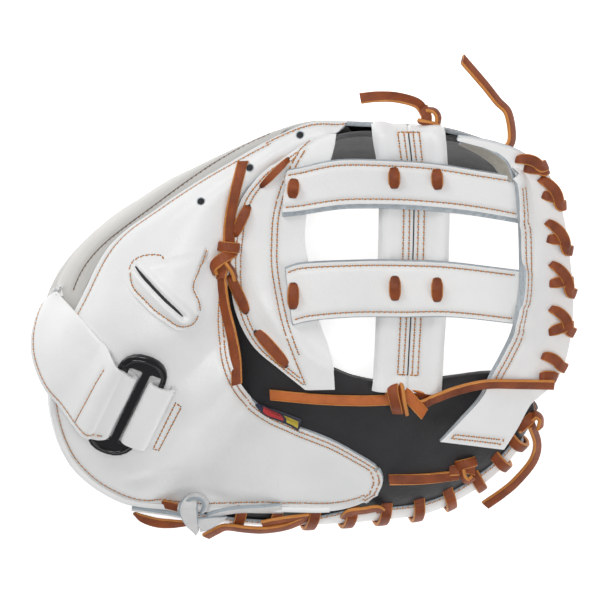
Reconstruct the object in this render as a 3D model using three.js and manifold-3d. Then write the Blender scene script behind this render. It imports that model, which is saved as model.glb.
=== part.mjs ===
// Softball catcher mitt for the left hand, lying pocket down with its back up.
// Millimetres, +Z up, +X from the wrist to the web's top, +Y from the thumb side to the finger side.
// The origin is on the surface that the mitt lies on, under the middle of its outline.

import * as THREE from 'three';
import { ConvexGeometry } from 'three/addons/geometries/ConvexGeometry.js';
import { mergeVertices } from 'three/addons/utils/BufferGeometryUtils.js';
import Module from 'manifold-3d';

const wasm = await Module();
wasm.setup();

// Driving dimensions
const leather = 2.2;
const gap = 0.42;
const laceWidth = 6.4;
const laceThick = 3;
const stringWidth = 5;
const barThick = 4;
const postThick = 4.5;
const bandThick = 5;
const strapThick = 2.4;
const gussetThick = 1.9;
const gussetGap = 0.8;
const wallThick = 2.6;
const wallGap = 1.3;
const palmSteps = 36;
const innerEdgeHalf = 1.8;
const eyeletRadius = 1.7;
const wrapReach = 4;
const laceClearance = 1.6;
const laceDepth = 3.5;

// Height of the web's plane over the floor, its rise towards the fingers and its fall to the top
const web = { height: 86, rise: 0.267, fallFrom: 84, fallLength: 60, fall: 20, fallSlope: 0.09 };
const webLift = { base: 2, post: 2, bar: 8.5, band: 8 };

// Palm leather with its padded rim: a row for each section across it, from the thumb tip round the
// heel to the finger tip. The inner edge runs along the web and the crotch, the rim is the outer roll.
const palmColumns = ['innerX', 'innerY', 'innerZ', 'rimX', 'rimY', 'rimZ', 'bulge', 'pad'];
const palmTable = [
  [145, -34, 60, 148, -48, 47, 1, 7],
  [132, -31, 64, 127, -65, 30, 3, 10],
  [114, -30, 66, 107, -85, 18, 5, 11.5],
  [78, -34, 70, 79, -102, 12.5, 7, 11.5],
  [45, -35, 73, 51, -107, 11.6, 7, 11.5],
  [21, -28, 78, 6, -110, 11.6, 6, 11.5],
  [0, -14, 84, -42, -109, 12.5, 3, 11.5],
  [-15, 4, 89, -90, -100, 17, 0, 11.5],
  [-23, 19, 92, -124, -83, 21, -3, 11.5],
  [-25, 34, 94, -141, -47, 25, -4, 11.5],
  [-25, 49, 97, -144, -5, 26, -4, 11.5],
  [-23, 64, 100, -131, 28, 24, -4, 11.5],
  [-15, 79, 103, -98, 58, 19, 0, 11.5],
  [-3, 94, 107, -51, 76, 16, 3, 11.5],
  [15, 107, 110, -6, 81, 15.4, 4, 11.5],
  [34, 112.2, 111, 36, 82, 15.3, 4, 11.5],
  [64, 110.6, 111, 72, 82, 15.4, 4, 11.5],
  [93, 109.2, 108, 101, 82, 20, 3, 11.5],
  [113, 102, 104, 118, 88, 48, 2, 9],
  [122, 99, 100, 126, 94, 80, 1, 7],
];

// Back of the hand: a row for each section, inner edge (a) at the web and crotch, outer edge (b)
const panelColumns = ['ax', 'ay', 'az', 'bx', 'by', 'bz', 'crown'];
const backTable = [
  [52, -96, 0, 51, -102, 0, 0],
  [40, -86, 0, 43, -109, 0, 0],
  [19, -71, 0, 18, -115, 0, 0],
  [-6, -61, 0, -10, -115, 0, 0],
  [-26, -49, 0, -60, -114, 0, 6],
  [-38, -33, 86, -106, -108, 26, 12],
  [-44, -8, 92, -136, -88, 42, 18],
  [-45, 13, 95, -149, -54, 64, 22],
  [-43, 34, 97, -145, -20, 74, 22],
  [-38, 56, 100, -132, 10, 80, 20],
  [-31, 76, 103, -113, 44, 88, 15],
  [-17, 91, 106, -82, 68, 98, 9],
  [2, 105, 110, -45, 92, 105, 4],
  [18, 114, 112.5, 2, 116, 111, 1],
];

// Outer side of the fingers: a row for each section, top edge (a) under the finger seam and its most
// outward line (b). The lower edge meets the padded rim at the place 'at' along the palm.
const wallColumns = ['ax', 'ay', 'az', 'bx', 'by', 'bz', 'at'];
const wallTable = [
  [-134, 8, 74, -146, 19, 58, 0.555],
  [-125, 29, 82, -138, 36, 64, 0.59],
  [-109, 47, 88, -122, 54, 70, 0.635],
  [-82, 67, 97, -97, 73, 76, 0.675],
  [-53, 86, 102, -62, 94, 82, 0.715],
  [-21, 105.5, 106.5, -24, 109, 86, 0.75],
  [2, 115, 109.5, 1, 117, 88, 0.775],
  [21, 117, 109, 21, 118, 86, 0.8],
  [43, 115.5, 103, 43, 117.4, 82, 0.83],
  [67, 114.5, 102, 67, 116.8, 80, 0.86],
  [90, 112, 100, 90, 115.2, 76, 0.895],
  [108, 107.5, 97, 110, 110, 74, 0.93],
  [120, 103.5, 100, 124, 104.5, 80, 0.96],
];

// Web pieces: a row for each section, edges a and b as they lie seen from above
const flatColumns = ['ax', 'ay', 'bx', 'by', 'lift'];
const baseTable = [
  [17, 112.5, 30, 115, -2],
  [7, 107, 31, 107, 0],
  [-6, 97, 27, 97, 1],
  [-23, 85, 19, 84, 1],
  [-35, 69, 5, 69, 1],
  [-41, 49, 3, 50, 1],
  [-42, 28, 6, 32, 1],
  [-38, 5, 11, 4, 0],
  [-28, -14, 17, -14, -1],
  [-12, -28, 20, -28, -2],
  [3, -40, 21, -40, -3],
];
const upperBarTable = [
  [-8, 91, -10, 64, -2.5],
  [0, 92, 0, 65.5, -1],
  [23, 97, 26, 71, 0],
  [55, 96, 55, 71, 1],
  [81, 94, 81, 66, 0],
  [105, 91, 104, 61, 0],
  [128, 87.5, 131, 59, 0],
];
const lowerBarTable = [
  [-9, 33, -5, -1, -2.5],
  [2, 36, 8, 2, -1],
  [34, 37.5, 34, 4, 0],
  [62, 37.5, 62, 4, 1],
  [90, 37, 90, 4, 0],
  [131, 29, 129, 2.5, 0],
];
const postTable = [
  [42, 114.6, 86, 112.6, -26],
  [42, 114.6, 86, 112.6, -13],
  [42.5, 113.2, 86, 111.4, -1.5],
  [43.5, 108, 87, 107, 1],
  [46, 93, 88, 92, 0],
  [47, 68, 89, 68, 0],
  [46, 20, 88, 20, 0],
  [44.5, -20, 86, -20, 0],
  [43, -40, 85, -42, -2],
];
const bandTable = [
  [84, 111.5, 87, 115.5, 0],
  [98, 107.3, 101.5, 111.5, 0],
  [113, 102.8, 117.5, 107.5, 0],
  [123.5, 94.5, 133, 101, 0],
  [128, 83, 147.5, 88.8, 0],
  [130, 62, 155.5, 68.5, 0],
  [131, 40, 160, 42.5, 0],
  [131, 19, 162.5, 17.5, 0],
  [127, -4, 161.5, -6, 0],
  [121, -18, 156, -28, 0],
  [114, -31, 147.5, -39.5, 0],
  [108, -44, 137.5, -48, 0],
  [95, -59, 129, -63.5, 0],
  [84, -71, 121, -76, 0],
];
const hoodTable = [
  [-96, 37, -102, 28],
  [-81, 39, -101, 19],
  [-66, 43, -94, 11],
  [-54, 46, -88, 5],
  [-58, 36, -81, 0],
  [-62, 25, -74, -4.5],
  [-60, 16, -67, -4],
  [-59, 8, -62, 1],
];
const tabTable = [
  [-27, -49.5, -21, -56.5],
  [-12, -54, -9, -61.5],
  [1, -59, -1, -66],
];
const strapColumns = ['ax', 'ay', 'az', 'bx', 'by', 'bz'];
const strapTable = [
  [-144, 19, 52, -153, 13, 42],
  [-145, 17.5, 62, -156, 9, 48],
  [-137, 9, 74, -160, 0, 54],
  [-128, -0.5, 82, -162, -11, 58],
  [-120, -9, 88, -160.5, -24, 64],
  [-113, -16, 94, -153, -42, 72],
];

// Slide buckle: its middle, the direction of its bars, and its sizes
const buckle = {
  x: -98.2, y: -47.6, barX: -0.466, barY: -0.885, lift: 5, length: 70, width: 28, thick: 3,
  slot: 53, bar: 3.5, middle: 3, ends: 7,
};
const strapHalf = 24;
const keeperHalf = 23.5;
// Path of a leather loop through a buckle slot: distance from the middle bar, height in the buckle
const loopColumns = ['out', 'up'];
const strapLoop = [
  [22, 5.2], [14.5, 4.9], [9.5, 4.8], [6.2, 4.2], [4.7, 1.6],
  [6.2, -1.2], [9.5, -1.8], [17, -1.8], [24, -1.4],
];
const keeperLoop = [
  [18.5, -2], [19.2, 0.6], [17.6, 3.6], [14, 4.7], [9.5, 4.7],
  [6, 3.8], [4.6, 1.5], [6, -1.1], [9.5, -1.9], [14.6, -1.9],
];

// Lace wraps over the padded rim, as lengths along it in millimetres from the first one
const wrapStart = { thumb: 0.312, finger: 0.69 };
const thumbWraps = [0, 24, 47, 70, 91, 113, 135, 157, 176, 192];
const fingerWraps = [0, 29, 58, 87, 116, 145];
const thumbSeat = { start: 6, end: 70, radius: 4.9 };
const fingerSeat = { start: 24, end: 146, radius: 2.4 };

// Lace pairs over the band's outer edge: upper hole, lower hole, place on the edge
const pairColumns = ['upperX', 'upperY', 'lowerX', 'lowerY', 'edgeX', 'edgeY'];
const bandPairs = [
  [127, 101, 134, 94, 141.5, 96],
  [142, 83, 146, 74, 152.5, 76],
  [148, 61, 149, 51, 159.5, 45],
  [150.5, 36, 151, 26.5, 162, 18.5],
  [151, 9, 151, -0.5, 161.5, -5],
  [148, -16, 146, -24, 155.5, -27.5],
];
// Lace runs that lie on the crescent's left side, each from hole to hole
const runColumns = ['ax', 'ay', 'bx', 'by'];
const crescentRuns = [
  [-8, 97, -22, 82],
  [-32, 68, -38.5, 53],
  [-42, 27, -33, 7],
  [-25, -7, -9, -25],
];
// Short lace loops through the bars and the base: their two holes
const barLoops = [
  [56, 92, 56, 79],
  [81.5, 91, 81.5, 79],
  [56.5, 27.5, 56.5, 14],
  [82, 27, 82, 13],
  [-4, 84, -4, 75],
  [-4, 23, -4, 8],
];
// Free lace ends as they lie, with the height over what is under them or over the floor
const tailColumns = ['x', 'y', 'z'];
const tailTables = {
  base_tail_up: [[-43, 47, 0], [-42, 60, 0], [-39, 76, 0], [-34, 96, 0]],
  base_tail_down: [[-47, 27, 99], [-45, 10, 97], [-41, -7, 94], [-38, -22, 90], [-37.5, -38, 86]],
  post_tail_left: [[54, -47, 0], [36, -47.5, 0], [10, -46.5, 0], [-18, -44, 0]],
  post_tail_right: [[79, -47, 76], [95, -41, 80], [112, -37.5, 79], [132, -37.5, 74], [153, -38, 68]],
  rim_tail: [[91, -90, 0], [75, -94.5, 0], [55, -96, 0]],
};
const freeTailTables = {
  web_tail: [[75, 124, 104], [70, 130.5, 106], [58, 134, 107], [46, 134.5, 107], [36, 133.5, 106]],
  band_tail: [
    [121, 101, 101], [126.5, 109, 99.5], [124.5, 124.5, 101],
    [118, 132, 102], [110, 142, 103], [97, 157, 104],
  ],
  rim_end_tail: [
    [140, -62, 47], [144, -74, 38], [141.5, -85, 31], [132, -97, 25], [123.5, -104.5, 21], [113, -112, 18],
  ],
};
// Knots: middle, direction of the lace through it, size
const knotColumns = ['x', 'y', 'alongX', 'alongY', 'radius', 'z'];
const knotTable = {
  base_knot: [-44, 38, -0.2, -1, 8.5, 0],
  post_knot: [66.5, -46, 1, 0, 8.5, 0],
  web_knot: [78, 121.5, -0.6, 1, 5.5, 107],
  rim_knot: [100, -89, -1, -0.1, 7.5, 0],
  band_knot: [139, -61, 0.3, -1, 6, 0],
};
// White lace at the heel: place along the palm, angle round the rim, distance from the padding
const heelColumns = ['at', 'angle', 'out'];
const heelTable = [
  [0.392, 30, 5.4],
  [0.374, 38, 5.4],
  [0.357, 40, 5.6],
  [0.341, 24, 5.8],
  [0.325, 2, 5.8],
  [0.308, -9, 5.8],
  [0.288, -13, 5.8],
];
const eyelets = [[-59, 72], [-30, 92], [0, 111.5]];

const colours = {
  white: 0xececea, black: 0x2b2a2c, tan: 0x9c4d28, plastic: 0x151517, navy: 0x1c2340,
};

const up = new THREE.Vector3(0, 0, 1);
const vec = (x, y, z) => new THREE.Vector3(x, y, z);
const named = (columns, table) => table.map(
  (row) => Object.fromEntries(columns.map((name, i) => [name, row[i] ?? 0])));

// Smooth curve through a column triple of a table
function curveThrough(rows, x, y, z) {
  const points = rows.map((row) => vec(row[x], row[y], z ? row[z] : 0));
  return new THREE.CatmullRomCurve3(points, false, 'catmullrom', 0.5);
}

// Closed solid through rings of points. A ring goes out along one side and back along the other,
// so its ends are closed by strips.
function loft(rings) {
  const count = rings[0].length;
  const positions = rings.flat().flatMap((p) => [p.x, p.y, p.z]);
  const index = [];
  const quad = (a, b, c, d) => index.push(a, b, c, a, c, d);
  for (let i = 0; i < rings.length - 1; i += 1) {
    for (let j = 0; j < count; j += 1) {
      const k = (j + 1) % count;
      quad(i * count + j, i * count + k, (i + 1) * count + k, (i + 1) * count + j);
    }
  }
  const last = (rings.length - 1) * count;
  for (let j = 0; j < count / 2 - 1; j += 1) {
    quad(j, count - 1 - j, count - 2 - j, j + 1);
    quad(last + j, last + j + 1, last + count - 2 - j, last + count - 1 - j);
  }
  return outward(positions, index);
}

// The same triangles with their faces pointing out
function outward(positions, index) {
  let volume = 0;
  const corner = (i) => vec(positions[3 * i], positions[3 * i + 1], positions[3 * i + 2]);
  for (let i = 0; i < index.length; i += 3) {
    const [a, b, c] = [corner(index[i]), corner(index[i + 1]), corner(index[i + 2])];
    volume += a.dot(b.cross(c));
  }
  const geometry = new THREE.BufferGeometry();
  geometry.setAttribute('position', new THREE.Float32BufferAttribute(positions, 3));
  geometry.setIndex(volume < 0 ? index.reverse() : index);
  return geometry;
}

// Height of the highest of some solids over a point of the floor
function heightOver(geometries, x, y) {
  let best = -Infinity;
  for (const geometry of geometries) {
    const p = geometry.attributes.position.array;
    const ids = geometry.index.array;
    for (let i = 0; i < ids.length; i += 3) {
      const [a, b, c] = [3 * ids[i], 3 * ids[i + 1], 3 * ids[i + 2]];
      const area = (p[b] - p[a]) * (p[c + 1] - p[a + 1]) - (p[c] - p[a]) * (p[b + 1] - p[a + 1]);
      if (Math.abs(area) < 1e-9) continue;
      const u = ((x - p[a]) * (p[c + 1] - p[a + 1]) - (p[c] - p[a]) * (y - p[a + 1])) / area;
      const v = ((p[b] - p[a]) * (y - p[a + 1]) - (x - p[a]) * (p[b + 1] - p[a + 1])) / area;
      if (u < 0 || v < 0 || u + v > 1) continue;
      best = Math.max(best, p[a + 2] + u * (p[b + 2] - p[a + 2]) + v * (p[c + 2] - p[a + 2]));
    }
  }
  return best;
}

function webHeight(x, y) {
  const past = Math.max(0, (x - web.fallFrom) / web.fallLength);
  return web.height + web.rise * y - past ** 1.5 * (web.fall - web.fallSlope * y);
}

// Sheet of leather on a grid of points. It grows from them towards the given direction, and a share
// of its thickness, half for a centred sheet, lies on their other side.
function sheetFrom(grid, thick, grow, toward = up, share = 0) {
  const rows = grid.length;
  const cols = grid[0].length;
  const normalAt = (i, j) => {
    const along = grid[Math.min(i + 1, rows - 1)][j].clone().sub(grid[Math.max(i - 1, 0)][j]);
    const across = grid[i][Math.min(j + 1, cols - 1)].clone().sub(grid[i][Math.max(j - 1, 0)]);
    return along.cross(across).normalize();
  };
  const middle = Math.floor(cols / 2);
  const total = grid.reduce((sum, _, i) => sum + normalAt(i, middle).dot(toward), 0);
  const side = Math.sign(total);
  const stretched = grid.map((row) => row.map((p) => p.clone()));
  const push = (p, q) => p.add(p.clone().sub(q).normalize().multiplyScalar(grow));
  if (grow > 0) {
    for (const row of stretched) {
      push(row[0], row[1]);
      push(row[cols - 1], row[cols - 2]);
    }
    for (let j = 0; j < cols; j += 1) {
      push(stretched[0][j], stretched[1][j]);
      push(stretched[rows - 1][j], stretched[rows - 2][j]);
    }
  }
  const rings = stretched.map((row, i) => {
    const top = [];
    const bottom = [];
    row.forEach((p, j) => {
      const normal = normalAt(i, j).multiplyScalar(side);
      top.push(p.clone().addScaledVector(normal, thick * (1 - share) + grow));
      bottom.push(p.clone().addScaledVector(normal, -thick * share - grow));
    });
    return [...top, ...bottom.reverse()];
  });
  return loft(rings);
}

// Grid of points across a table's sections, each section straight with a crown in its middle
function panelGrid(rows, along, across, heightAt, below = [], clearance = 0.5) {
  const a = curveThrough(rows, 'ax', 'ay', 'az');
  const b = curveThrough(rows, 'bx', 'by', 'bz');
  const extra = curveThrough(rows.map((r) => ({ x: r.crown ?? 0, y: r.lift ?? 0 })), 'x', 'y');
  const grid = [];
  for (let i = 0; i <= along; i += 1) {
    const t = i / along;
    const [start, end, more] = [a.getPoint(t), b.getPoint(t), extra.getPoint(t)];
    const row = [];
    for (let j = 0; j <= across; j += 1) {
      const u = j / across;
      const p = start.clone().lerp(end, u);
      p.z = (heightAt ? heightAt(p.x, p.y) : p.z) + more.x * 4 * u * (1 - u) + more.y;
      const rest = heightOver(below, p.x, p.y);
      p.z = Math.max(p.z, rest + clearance);
      row.push(p);
    }
    grid.push(row);
  }
  return grid;
}

// Centre surface, back normal and half thickness of the palm leather at t along it and r across it
const palmRows = named(palmColumns, palmTable);
const palmInner = curveThrough(palmRows, 'innerX', 'innerY', 'innerZ');
const palmRim = curveThrough(palmRows, 'rimX', 'rimY', 'rimZ');
const palmSizes = curveThrough(palmRows, 'bulge', 'pad');

function palmCentre(t, r) {
  const s = THREE.MathUtils.clamp(t, 0, 1);
  const [inner, rim, sizes] = [palmInner.getPoint(s), palmRim.getPoint(s), palmSizes.getPoint(s)];
  const across = rim.clone().sub(inner);
  const along = palmRim.getPoint(Math.min(s + 0.01, 1)).sub(palmRim.getPoint(Math.max(s - 0.01, 0)))
    .add(palmInner.getPoint(Math.min(s + 0.01, 1)).sub(palmInner.getPoint(Math.max(s - 0.01, 0))));
  const normal = along.cross(across).normalize();
  return inner.lerp(rim, r).addScaledVector(normal, 4 * r * (1 - r) * sizes.x);
}

function palmFrame(t, r) {
  const step = 0.004;
  const centre = palmCentre(t, r);
  const across = palmCentre(t, r + step).sub(palmCentre(t, r - step)).normalize();
  const t0 = Math.max(t - step, 0);
  const t1 = Math.min(t + step, 1);
  const along = palmCentre(t1, r).sub(palmCentre(t0, r)).normalize();
  const normal = along.clone().cross(across).normalize();
  const pad = palmSizes.getPoint(THREE.MathUtils.clamp(t, 0, 1)).y;
  const half = innerEdgeHalf + (pad - innerEdgeHalf) * THREE.MathUtils.smoothstep(r, 0.25, 1);
  return { centre, normal, along, half, pad };
}

// Point round the padded rim: angle 0 is its back, 90 its outer edge, 180 its pocket side
function rimPoint(t, degrees, radius) {
  const frame = palmFrame(t, 1);
  const angle = THREE.MathUtils.degToRad(degrees);
  const outer = rimOut(frame);
  const out = frame.normal.clone().multiplyScalar(Math.cos(angle)).addScaledVector(outer, Math.sin(angle));
  const round = frame.normal.clone().multiplyScalar(-Math.sin(angle)).addScaledVector(outer, Math.cos(angle));
  return { point: frame.centre.clone().addScaledVector(out, frame.pad + radius), out, round };
}

function rimOut(frame) {
  return frame.normal.clone().cross(frame.along).normalize();
}

function palmShell(grow) {
  const along = palmSteps;
  const across = 4;
  const capAngles = [22, 41, 60, 85, 115, 150];
  const rings = [];
  for (let i = 0; i <= along; i += 1) {
    const t = i / along;
    const top = [];
    const bottom = [];
    for (let j = 0; j <= across; j += 1) {
      const f = palmFrame(t, j / across);
      top.push(f.centre.clone().addScaledVector(f.normal, f.half + grow));
      bottom.push(f.centre.clone().addScaledVector(f.normal, -f.half - grow));
    }
    const cap = capAngles.map((angle) => rimPoint(t, angle, grow).point);
    rings.push([...top, ...cap, ...bottom.reverse()]);
  }
  return loft(rings);
}

// White strip round the outside of the padded rim, between two places along the palm
function gusset(first, last, startAngle, endAngle, grow) {
  const rings = [];
  const turns = 2;
  for (let i = first; i <= last; i += 1) {
    const t = i / palmSteps;
    const outer = [];
    const inner = [];
    for (let j = 0; j <= turns; j += 1) {
      const angle = startAngle + (endAngle - startAngle) * j / turns;
      outer.push(rimPoint(t, angle, gussetGap + gussetThick + grow).point);
      inner.push(rimPoint(t, angle, gussetGap - grow).point);
    }
    rings.push([...outer, ...inner.reverse()]);
  }
  return loft(rings);
}

// Cross sections of a flat lace swept through points. Each point has its outward direction, which is the
// lace's thin way, and it may have the heading of the lace there.
function flatRings(stops, width, thick, swell) {
  const grow = swell * laceClearance;
  return stops.map(({ point, out, heading }, i) => {
    const tangent = heading ? heading.clone() : vec(0, 0, 0);
    if (!heading && i > 0) tangent.add(point.clone().sub(stops[i - 1].point).normalize());
    if (!heading && i < stops.length - 1) tangent.add(stops[i + 1].point.clone().sub(point).normalize());
    tangent.normalize();
    const side = tangent.clone().cross(out).normalize().multiplyScalar(width / 2 + grow);
    const lift = side.clone().cross(tangent).normalize().multiplyScalar(thick / 2 + grow);
    const place = point.clone();
    if (i === 0) place.addScaledVector(tangent, -grow);
    if (i === stops.length - 1) place.addScaledVector(tangent, grow);
    const put = (s, l) => place.clone().addScaledVector(side, s).addScaledVector(lift, l);
    return [put(-1, 1), put(1, 1), put(1, -1), put(-1, -1)];
  });
}

// The sweep as a chain of convex links, one from each ring to the next
function linkSweep(stops, width, thick, swell) {
  const rings = flatRings(stops, width, thick, swell);
  return rings.slice(1).map((ring, i) => new ConvexGeometry([...rings[i], ...ring]));
}

// Table of places along the palm's outer rim for given lengths from a first place
function placesAlongRim(start, lengths, direction) {
  const places = [];
  let t = start;
  let travelled = 0;
  const step = 0.0005;
  let here = rimPoint(t, 70, 4).point;
  for (const length of lengths) {
    while (travelled < length && t > 0 && t < 1) {
      t += direction * step;
      const next = rimPoint(t, 70, 4).point;
      travelled += next.distanceTo(here);
      here = next;
    }
    places.push(t);
  }
  return places;
}

// Whip lacing round the padded rim: over the edge, through the padding, and on to the next hole
function rimLace(start, lengths, direction, seat, grow) {
  const stops = [];
  const top = placesAlongRim(start, lengths.map((s) => s + wrapReach), direction);
  const low = placesAlongRim(start, lengths.map((s) => Math.max(s - wrapReach, 0)), direction);
  const fromLast = lengths.map((_, i) => lengths.length - 1 - i);
  const span = seat.end - seat.start;
  let before = null;
  for (const i of fromLast) {
    const at = (part) => top[i] + (low[i] - top[i]) * part;
    const lean = (stop, share) => ({
      point: stop.point,
      out: stop.out.clone().addScaledVector(stop.round, share),
    });
    const sunk = span * 0.06;
    const first = rimPoint(at(0), seat.start + sunk, -laceDepth);
    if (stops.length > 0) {
      const inward = before.out.clone().add(first.out).negate();
      stops.push({ point: before.point.clone().lerp(first.point, 0.5), out: inward });
    }
    stops.push({ point: first.point, out: first.round.clone().negate().addScaledVector(first.out, -0.5) });
    stops.push(lean(rimPoint(at(0.03), seat.start, seat.radius - 0.8), -1));
    for (const part of [0.22, 0.5, 0.78]) {
      stops.push(rimPoint(at(part), seat.start + span * part, seat.radius));
    }
    stops.push(lean(rimPoint(at(0.97), seat.end, seat.radius - 0.8), 1));
    before = rimPoint(at(1), seat.end - sunk, -laceDepth);
    stops.push({ point: before.point, out: before.round.clone().addScaledVector(before.out, -0.5) });
  }
  return loft(flatRings(stops, laceWidth - 1.4, laceThick, grow));
}

// Frame on top of some solids: its third axis is square to them, its first runs along a direction
function surfaceFrame(x, y, alongX, alongY, below, lift) {
  const reach = 12;
  const along = vec(alongX, alongY, 0).normalize();
  const side = vec(-along.y, along.x, 0);
  const at = (dx, dy) => {
    const p = vec(x, y, 0).addScaledVector(along, dx).addScaledVector(side, dy);
    p.z = heightOver(below, p.x, p.y);
    return p;
  };
  const first = at(reach, 0).sub(at(-reach, 0)).normalize();
  const second = at(0, reach).sub(at(0, -reach)).normalize();
  const third = first.clone().cross(second).normalize();
  const square = third.clone().cross(first).normalize();
  const frame = new THREE.Matrix4().makeBasis(first, square, third);
  const centre = at(0, 0);
  centre.z = Math.max(...[[0, 0], [reach, 0], [-reach, 0], [0, reach], [0, -reach]].map(
    ([dx, dy]) => at(dx, dy).z - first.z * dx - second.z * dy));
  frame.setPosition(centre.addScaledVector(third, lift));
  return frame;
}

// Heights of solids that may not be there yet are taken from what is built so far
const built = {};
const order = [];
const add = (name, colour, make) => {
  built[name] = make(0);
  order.push({ name, colour, make });
};
const below = (...names) => names.map((name) => built[name]);

add('palm_shell', colours.black, palmShell);
add('rim_wall', colours.white, (grow) => gusset(2, 13, 22, 60, grow));

function backPanel(grow) {
  const grid = panelGrid(named(panelColumns, backTable), 22, 7, null, below('palm_shell'), 1);
  return sheetFrom(grid, leather, grow);
}
add('back_panel', colours.white, backPanel);

// A point moved out until it is a given distance clear of the palm leather's back
function clearOfPalm(point, t, distance) {
  let nearest = null;
  for (let r = 0; r <= 1; r += 0.04) {
    const frame = palmFrame(t, r);
    const off = point.clone().sub(frame.centre);
    if (!nearest || off.length() < nearest.off.length()) nearest = { frame, off };
  }
  const missing = nearest.frame.half + distance - nearest.off.dot(nearest.frame.normal);
  return missing > 0 ? point.clone().addScaledVector(nearest.frame.normal, missing) : point;
}

function fingerSideWall(grow) {
  const rows = named(wallColumns, wallTable);
  const top = curveThrough(rows, 'ax', 'ay', 'az');
  const most = curveThrough(rows, 'bx', 'by', 'bz');
  const places = curveThrough(rows.map((row) => ({ x: row.at, y: 0 })), 'x', 'y');
  const grid = [];
  const [along, across] = [20, 4];
  for (let i = 0; i <= along; i += 1) {
    const t = i / along;
    const start = top.getPoint(t);
    const middle = most.getPoint(t);
    const place = places.getPoint(t).x;
    const outside = wallGap + wallThick;
    const end = rimPoint(place, 6, outside).point;
    const handle = middle.multiplyScalar(2).addScaledVector(start, -0.5).addScaledVector(end, -0.5);
    const section = new THREE.QuadraticBezierCurve3(start, handle, end);
    const round = [38, 72, 106].map((angle) => rimPoint(place, angle, outside).point);
    const side = section.getPoints(across).map((p) => clearOfPalm(p, place, outside + 0.6));
    grid.push([...side, ...round]);
  }
  return sheetFrom(grid, wallThick, grow, vec(0, -1, 0));
}
add('finger_side_wall', colours.white, fingerSideWall);

function webSheet(table, along, across, lift, thick, grow, under) {
  const rows = named(flatColumns, table);
  const grid = panelGrid(rows, along, across, (x, y) => webHeight(x, y) + lift - thick, under, 0.9);
  return sheetFrom(grid, thick, grow);
}
add('web_base', colours.white, (grow) => webSheet(
  baseTable, 15, 4, webLift.base, leather, grow, below('palm_shell', 'back_panel', 'finger_side_wall')));
add('web_post', colours.white, (grow) => webSheet(
  postTable, 14, 3, webLift.post, postThick, grow, below('palm_shell')));
add('web_bar_upper', colours.white, (grow) => webSheet(
  upperBarTable, 9, 2, webLift.bar, barThick, grow, below('web_base', 'web_post')));
add('web_bar_lower', colours.white, (grow) => webSheet(
  lowerBarTable, 9, 2, webLift.bar, barThick, grow, below('web_base', 'web_post')));
add('web_top_band', colours.white, (grow) => webSheet(bandTable, 22, 3, webLift.band, bandThick, grow,
  below('palm_shell', 'web_bar_upper', 'web_bar_lower', 'rim_wall')));

function fingerHood(grow) {
  const rows = named(['ax', 'ay', 'bx', 'by'], hoodTable);
  const grid = panelGrid(rows, 11, 4, () => 0, below('back_panel'), 0.9);
  return sheetFrom(grid, leather, grow);
}
add('finger_hood', colours.white, fingerHood);

function buckleFrame() {
  return surfaceFrame(buckle.x, buckle.y, buckle.barX, buckle.barY, below('back_panel'), buckle.lift);
}

function strapBuckle(grow) {
  const { length, width, thick, slot, bar, middle, ends } = buckle;
  const outline = new THREE.Shape();
  const half = { x: length / 2 + grow, y: width / 2 + grow };
  outline.moveTo(-half.x + ends, -half.y);
  outline.lineTo(half.x - ends, -half.y);
  outline.quadraticCurveTo(half.x, -half.y, half.x, -half.y / 3);
  outline.lineTo(half.x, half.y / 3);
  outline.quadraticCurveTo(half.x, half.y, half.x - ends, half.y);
  outline.lineTo(-half.x + ends, half.y);
  outline.quadraticCurveTo(-half.x, half.y, -half.x, half.y / 3);
  outline.lineTo(-half.x, -half.y / 3);
  outline.quadraticCurveTo(-half.x, -half.y, -half.x + ends, -half.y);
  for (const side of [-1, 1]) {
    const near = side * (middle / 2 + grow);
    const far = side * (width / 2 - bar - grow);
    const hole = new THREE.Path();
    hole.moveTo(-slot / 2 + grow, near);
    hole.lineTo(-slot / 2 + grow, far);
    hole.lineTo(slot / 2 - grow, far);
    hole.lineTo(slot / 2 - grow, near);
    hole.closePath();
    outline.holes.push(hole);
  }
  const options = { depth: thick + 2 * grow, bevelEnabled: false, curveSegments: 5 };
  const geometry = new THREE.ExtrudeGeometry(outline, options);
  geometry.translate(0, 0, -grow);
  geometry.applyMatrix4(buckleFrame());
  return geometry;
}
add('strap_buckle', colours.plastic, strapBuckle);

// Rows of a leather loop through a buckle slot, on one side of the middle bar
function loopRows(table, side, halfWidth) {
  const frame = buckleFrame();
  return named(loopColumns, table).map(({ out, up: high }) => {
    const a = vec(-halfWidth, side * out, high).applyMatrix4(frame);
    const b = vec(halfWidth, side * out, high).applyMatrix4(frame);
    return { ax: a.x, ay: a.y, az: a.z, bx: b.x, by: b.y, bz: b.z };
  });
}

function loopSheet(rows, along, across, thick, grow, rested) {
  const a = curveThrough(rows, 'ax', 'ay', 'az');
  const b = curveThrough(rows, 'bx', 'by', 'bz');
  const grid = [];
  for (let i = 0; i <= along; i += 1) {
    const [start, end] = [a.getPoint(i / along), b.getPoint(i / along)];
    const row = [];
    for (let j = 0; j <= across; j += 1) {
      const p = start.clone().lerp(end, j / across);
      if (i / along < rested) {
        const floor = heightOver(below('back_panel', 'palm_shell', 'finger_side_wall'), p.x, p.y);
        p.z = Math.max(p.z, floor + thick / 2 + 1);
      }
      row.push(p);
    }
    grid.push(row);
  }
  return sheetFrom(grid, thick, grow, up, 0.5);
}

function barDirectionUp() {
  const frame = buckleFrame();
  return vec(1, 0, 0).transformDirection(frame).y > 0 ? 1 : -1;
}

function wristStrap(grow) {
  const loop = loopRows(strapLoop, strapSide(), barDirectionUp() * -strapHalf);
  const rows = [...named(strapColumns, strapTable), ...loop];
  return loopSheet(rows, 32, 4, strapThick, 1.5 * grow, 0.42);
}

function strapSide() {
  const frame = buckleFrame();
  return vec(0, 1, 0).transformDirection(frame).x < 0 ? 1 : -1;
}

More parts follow.
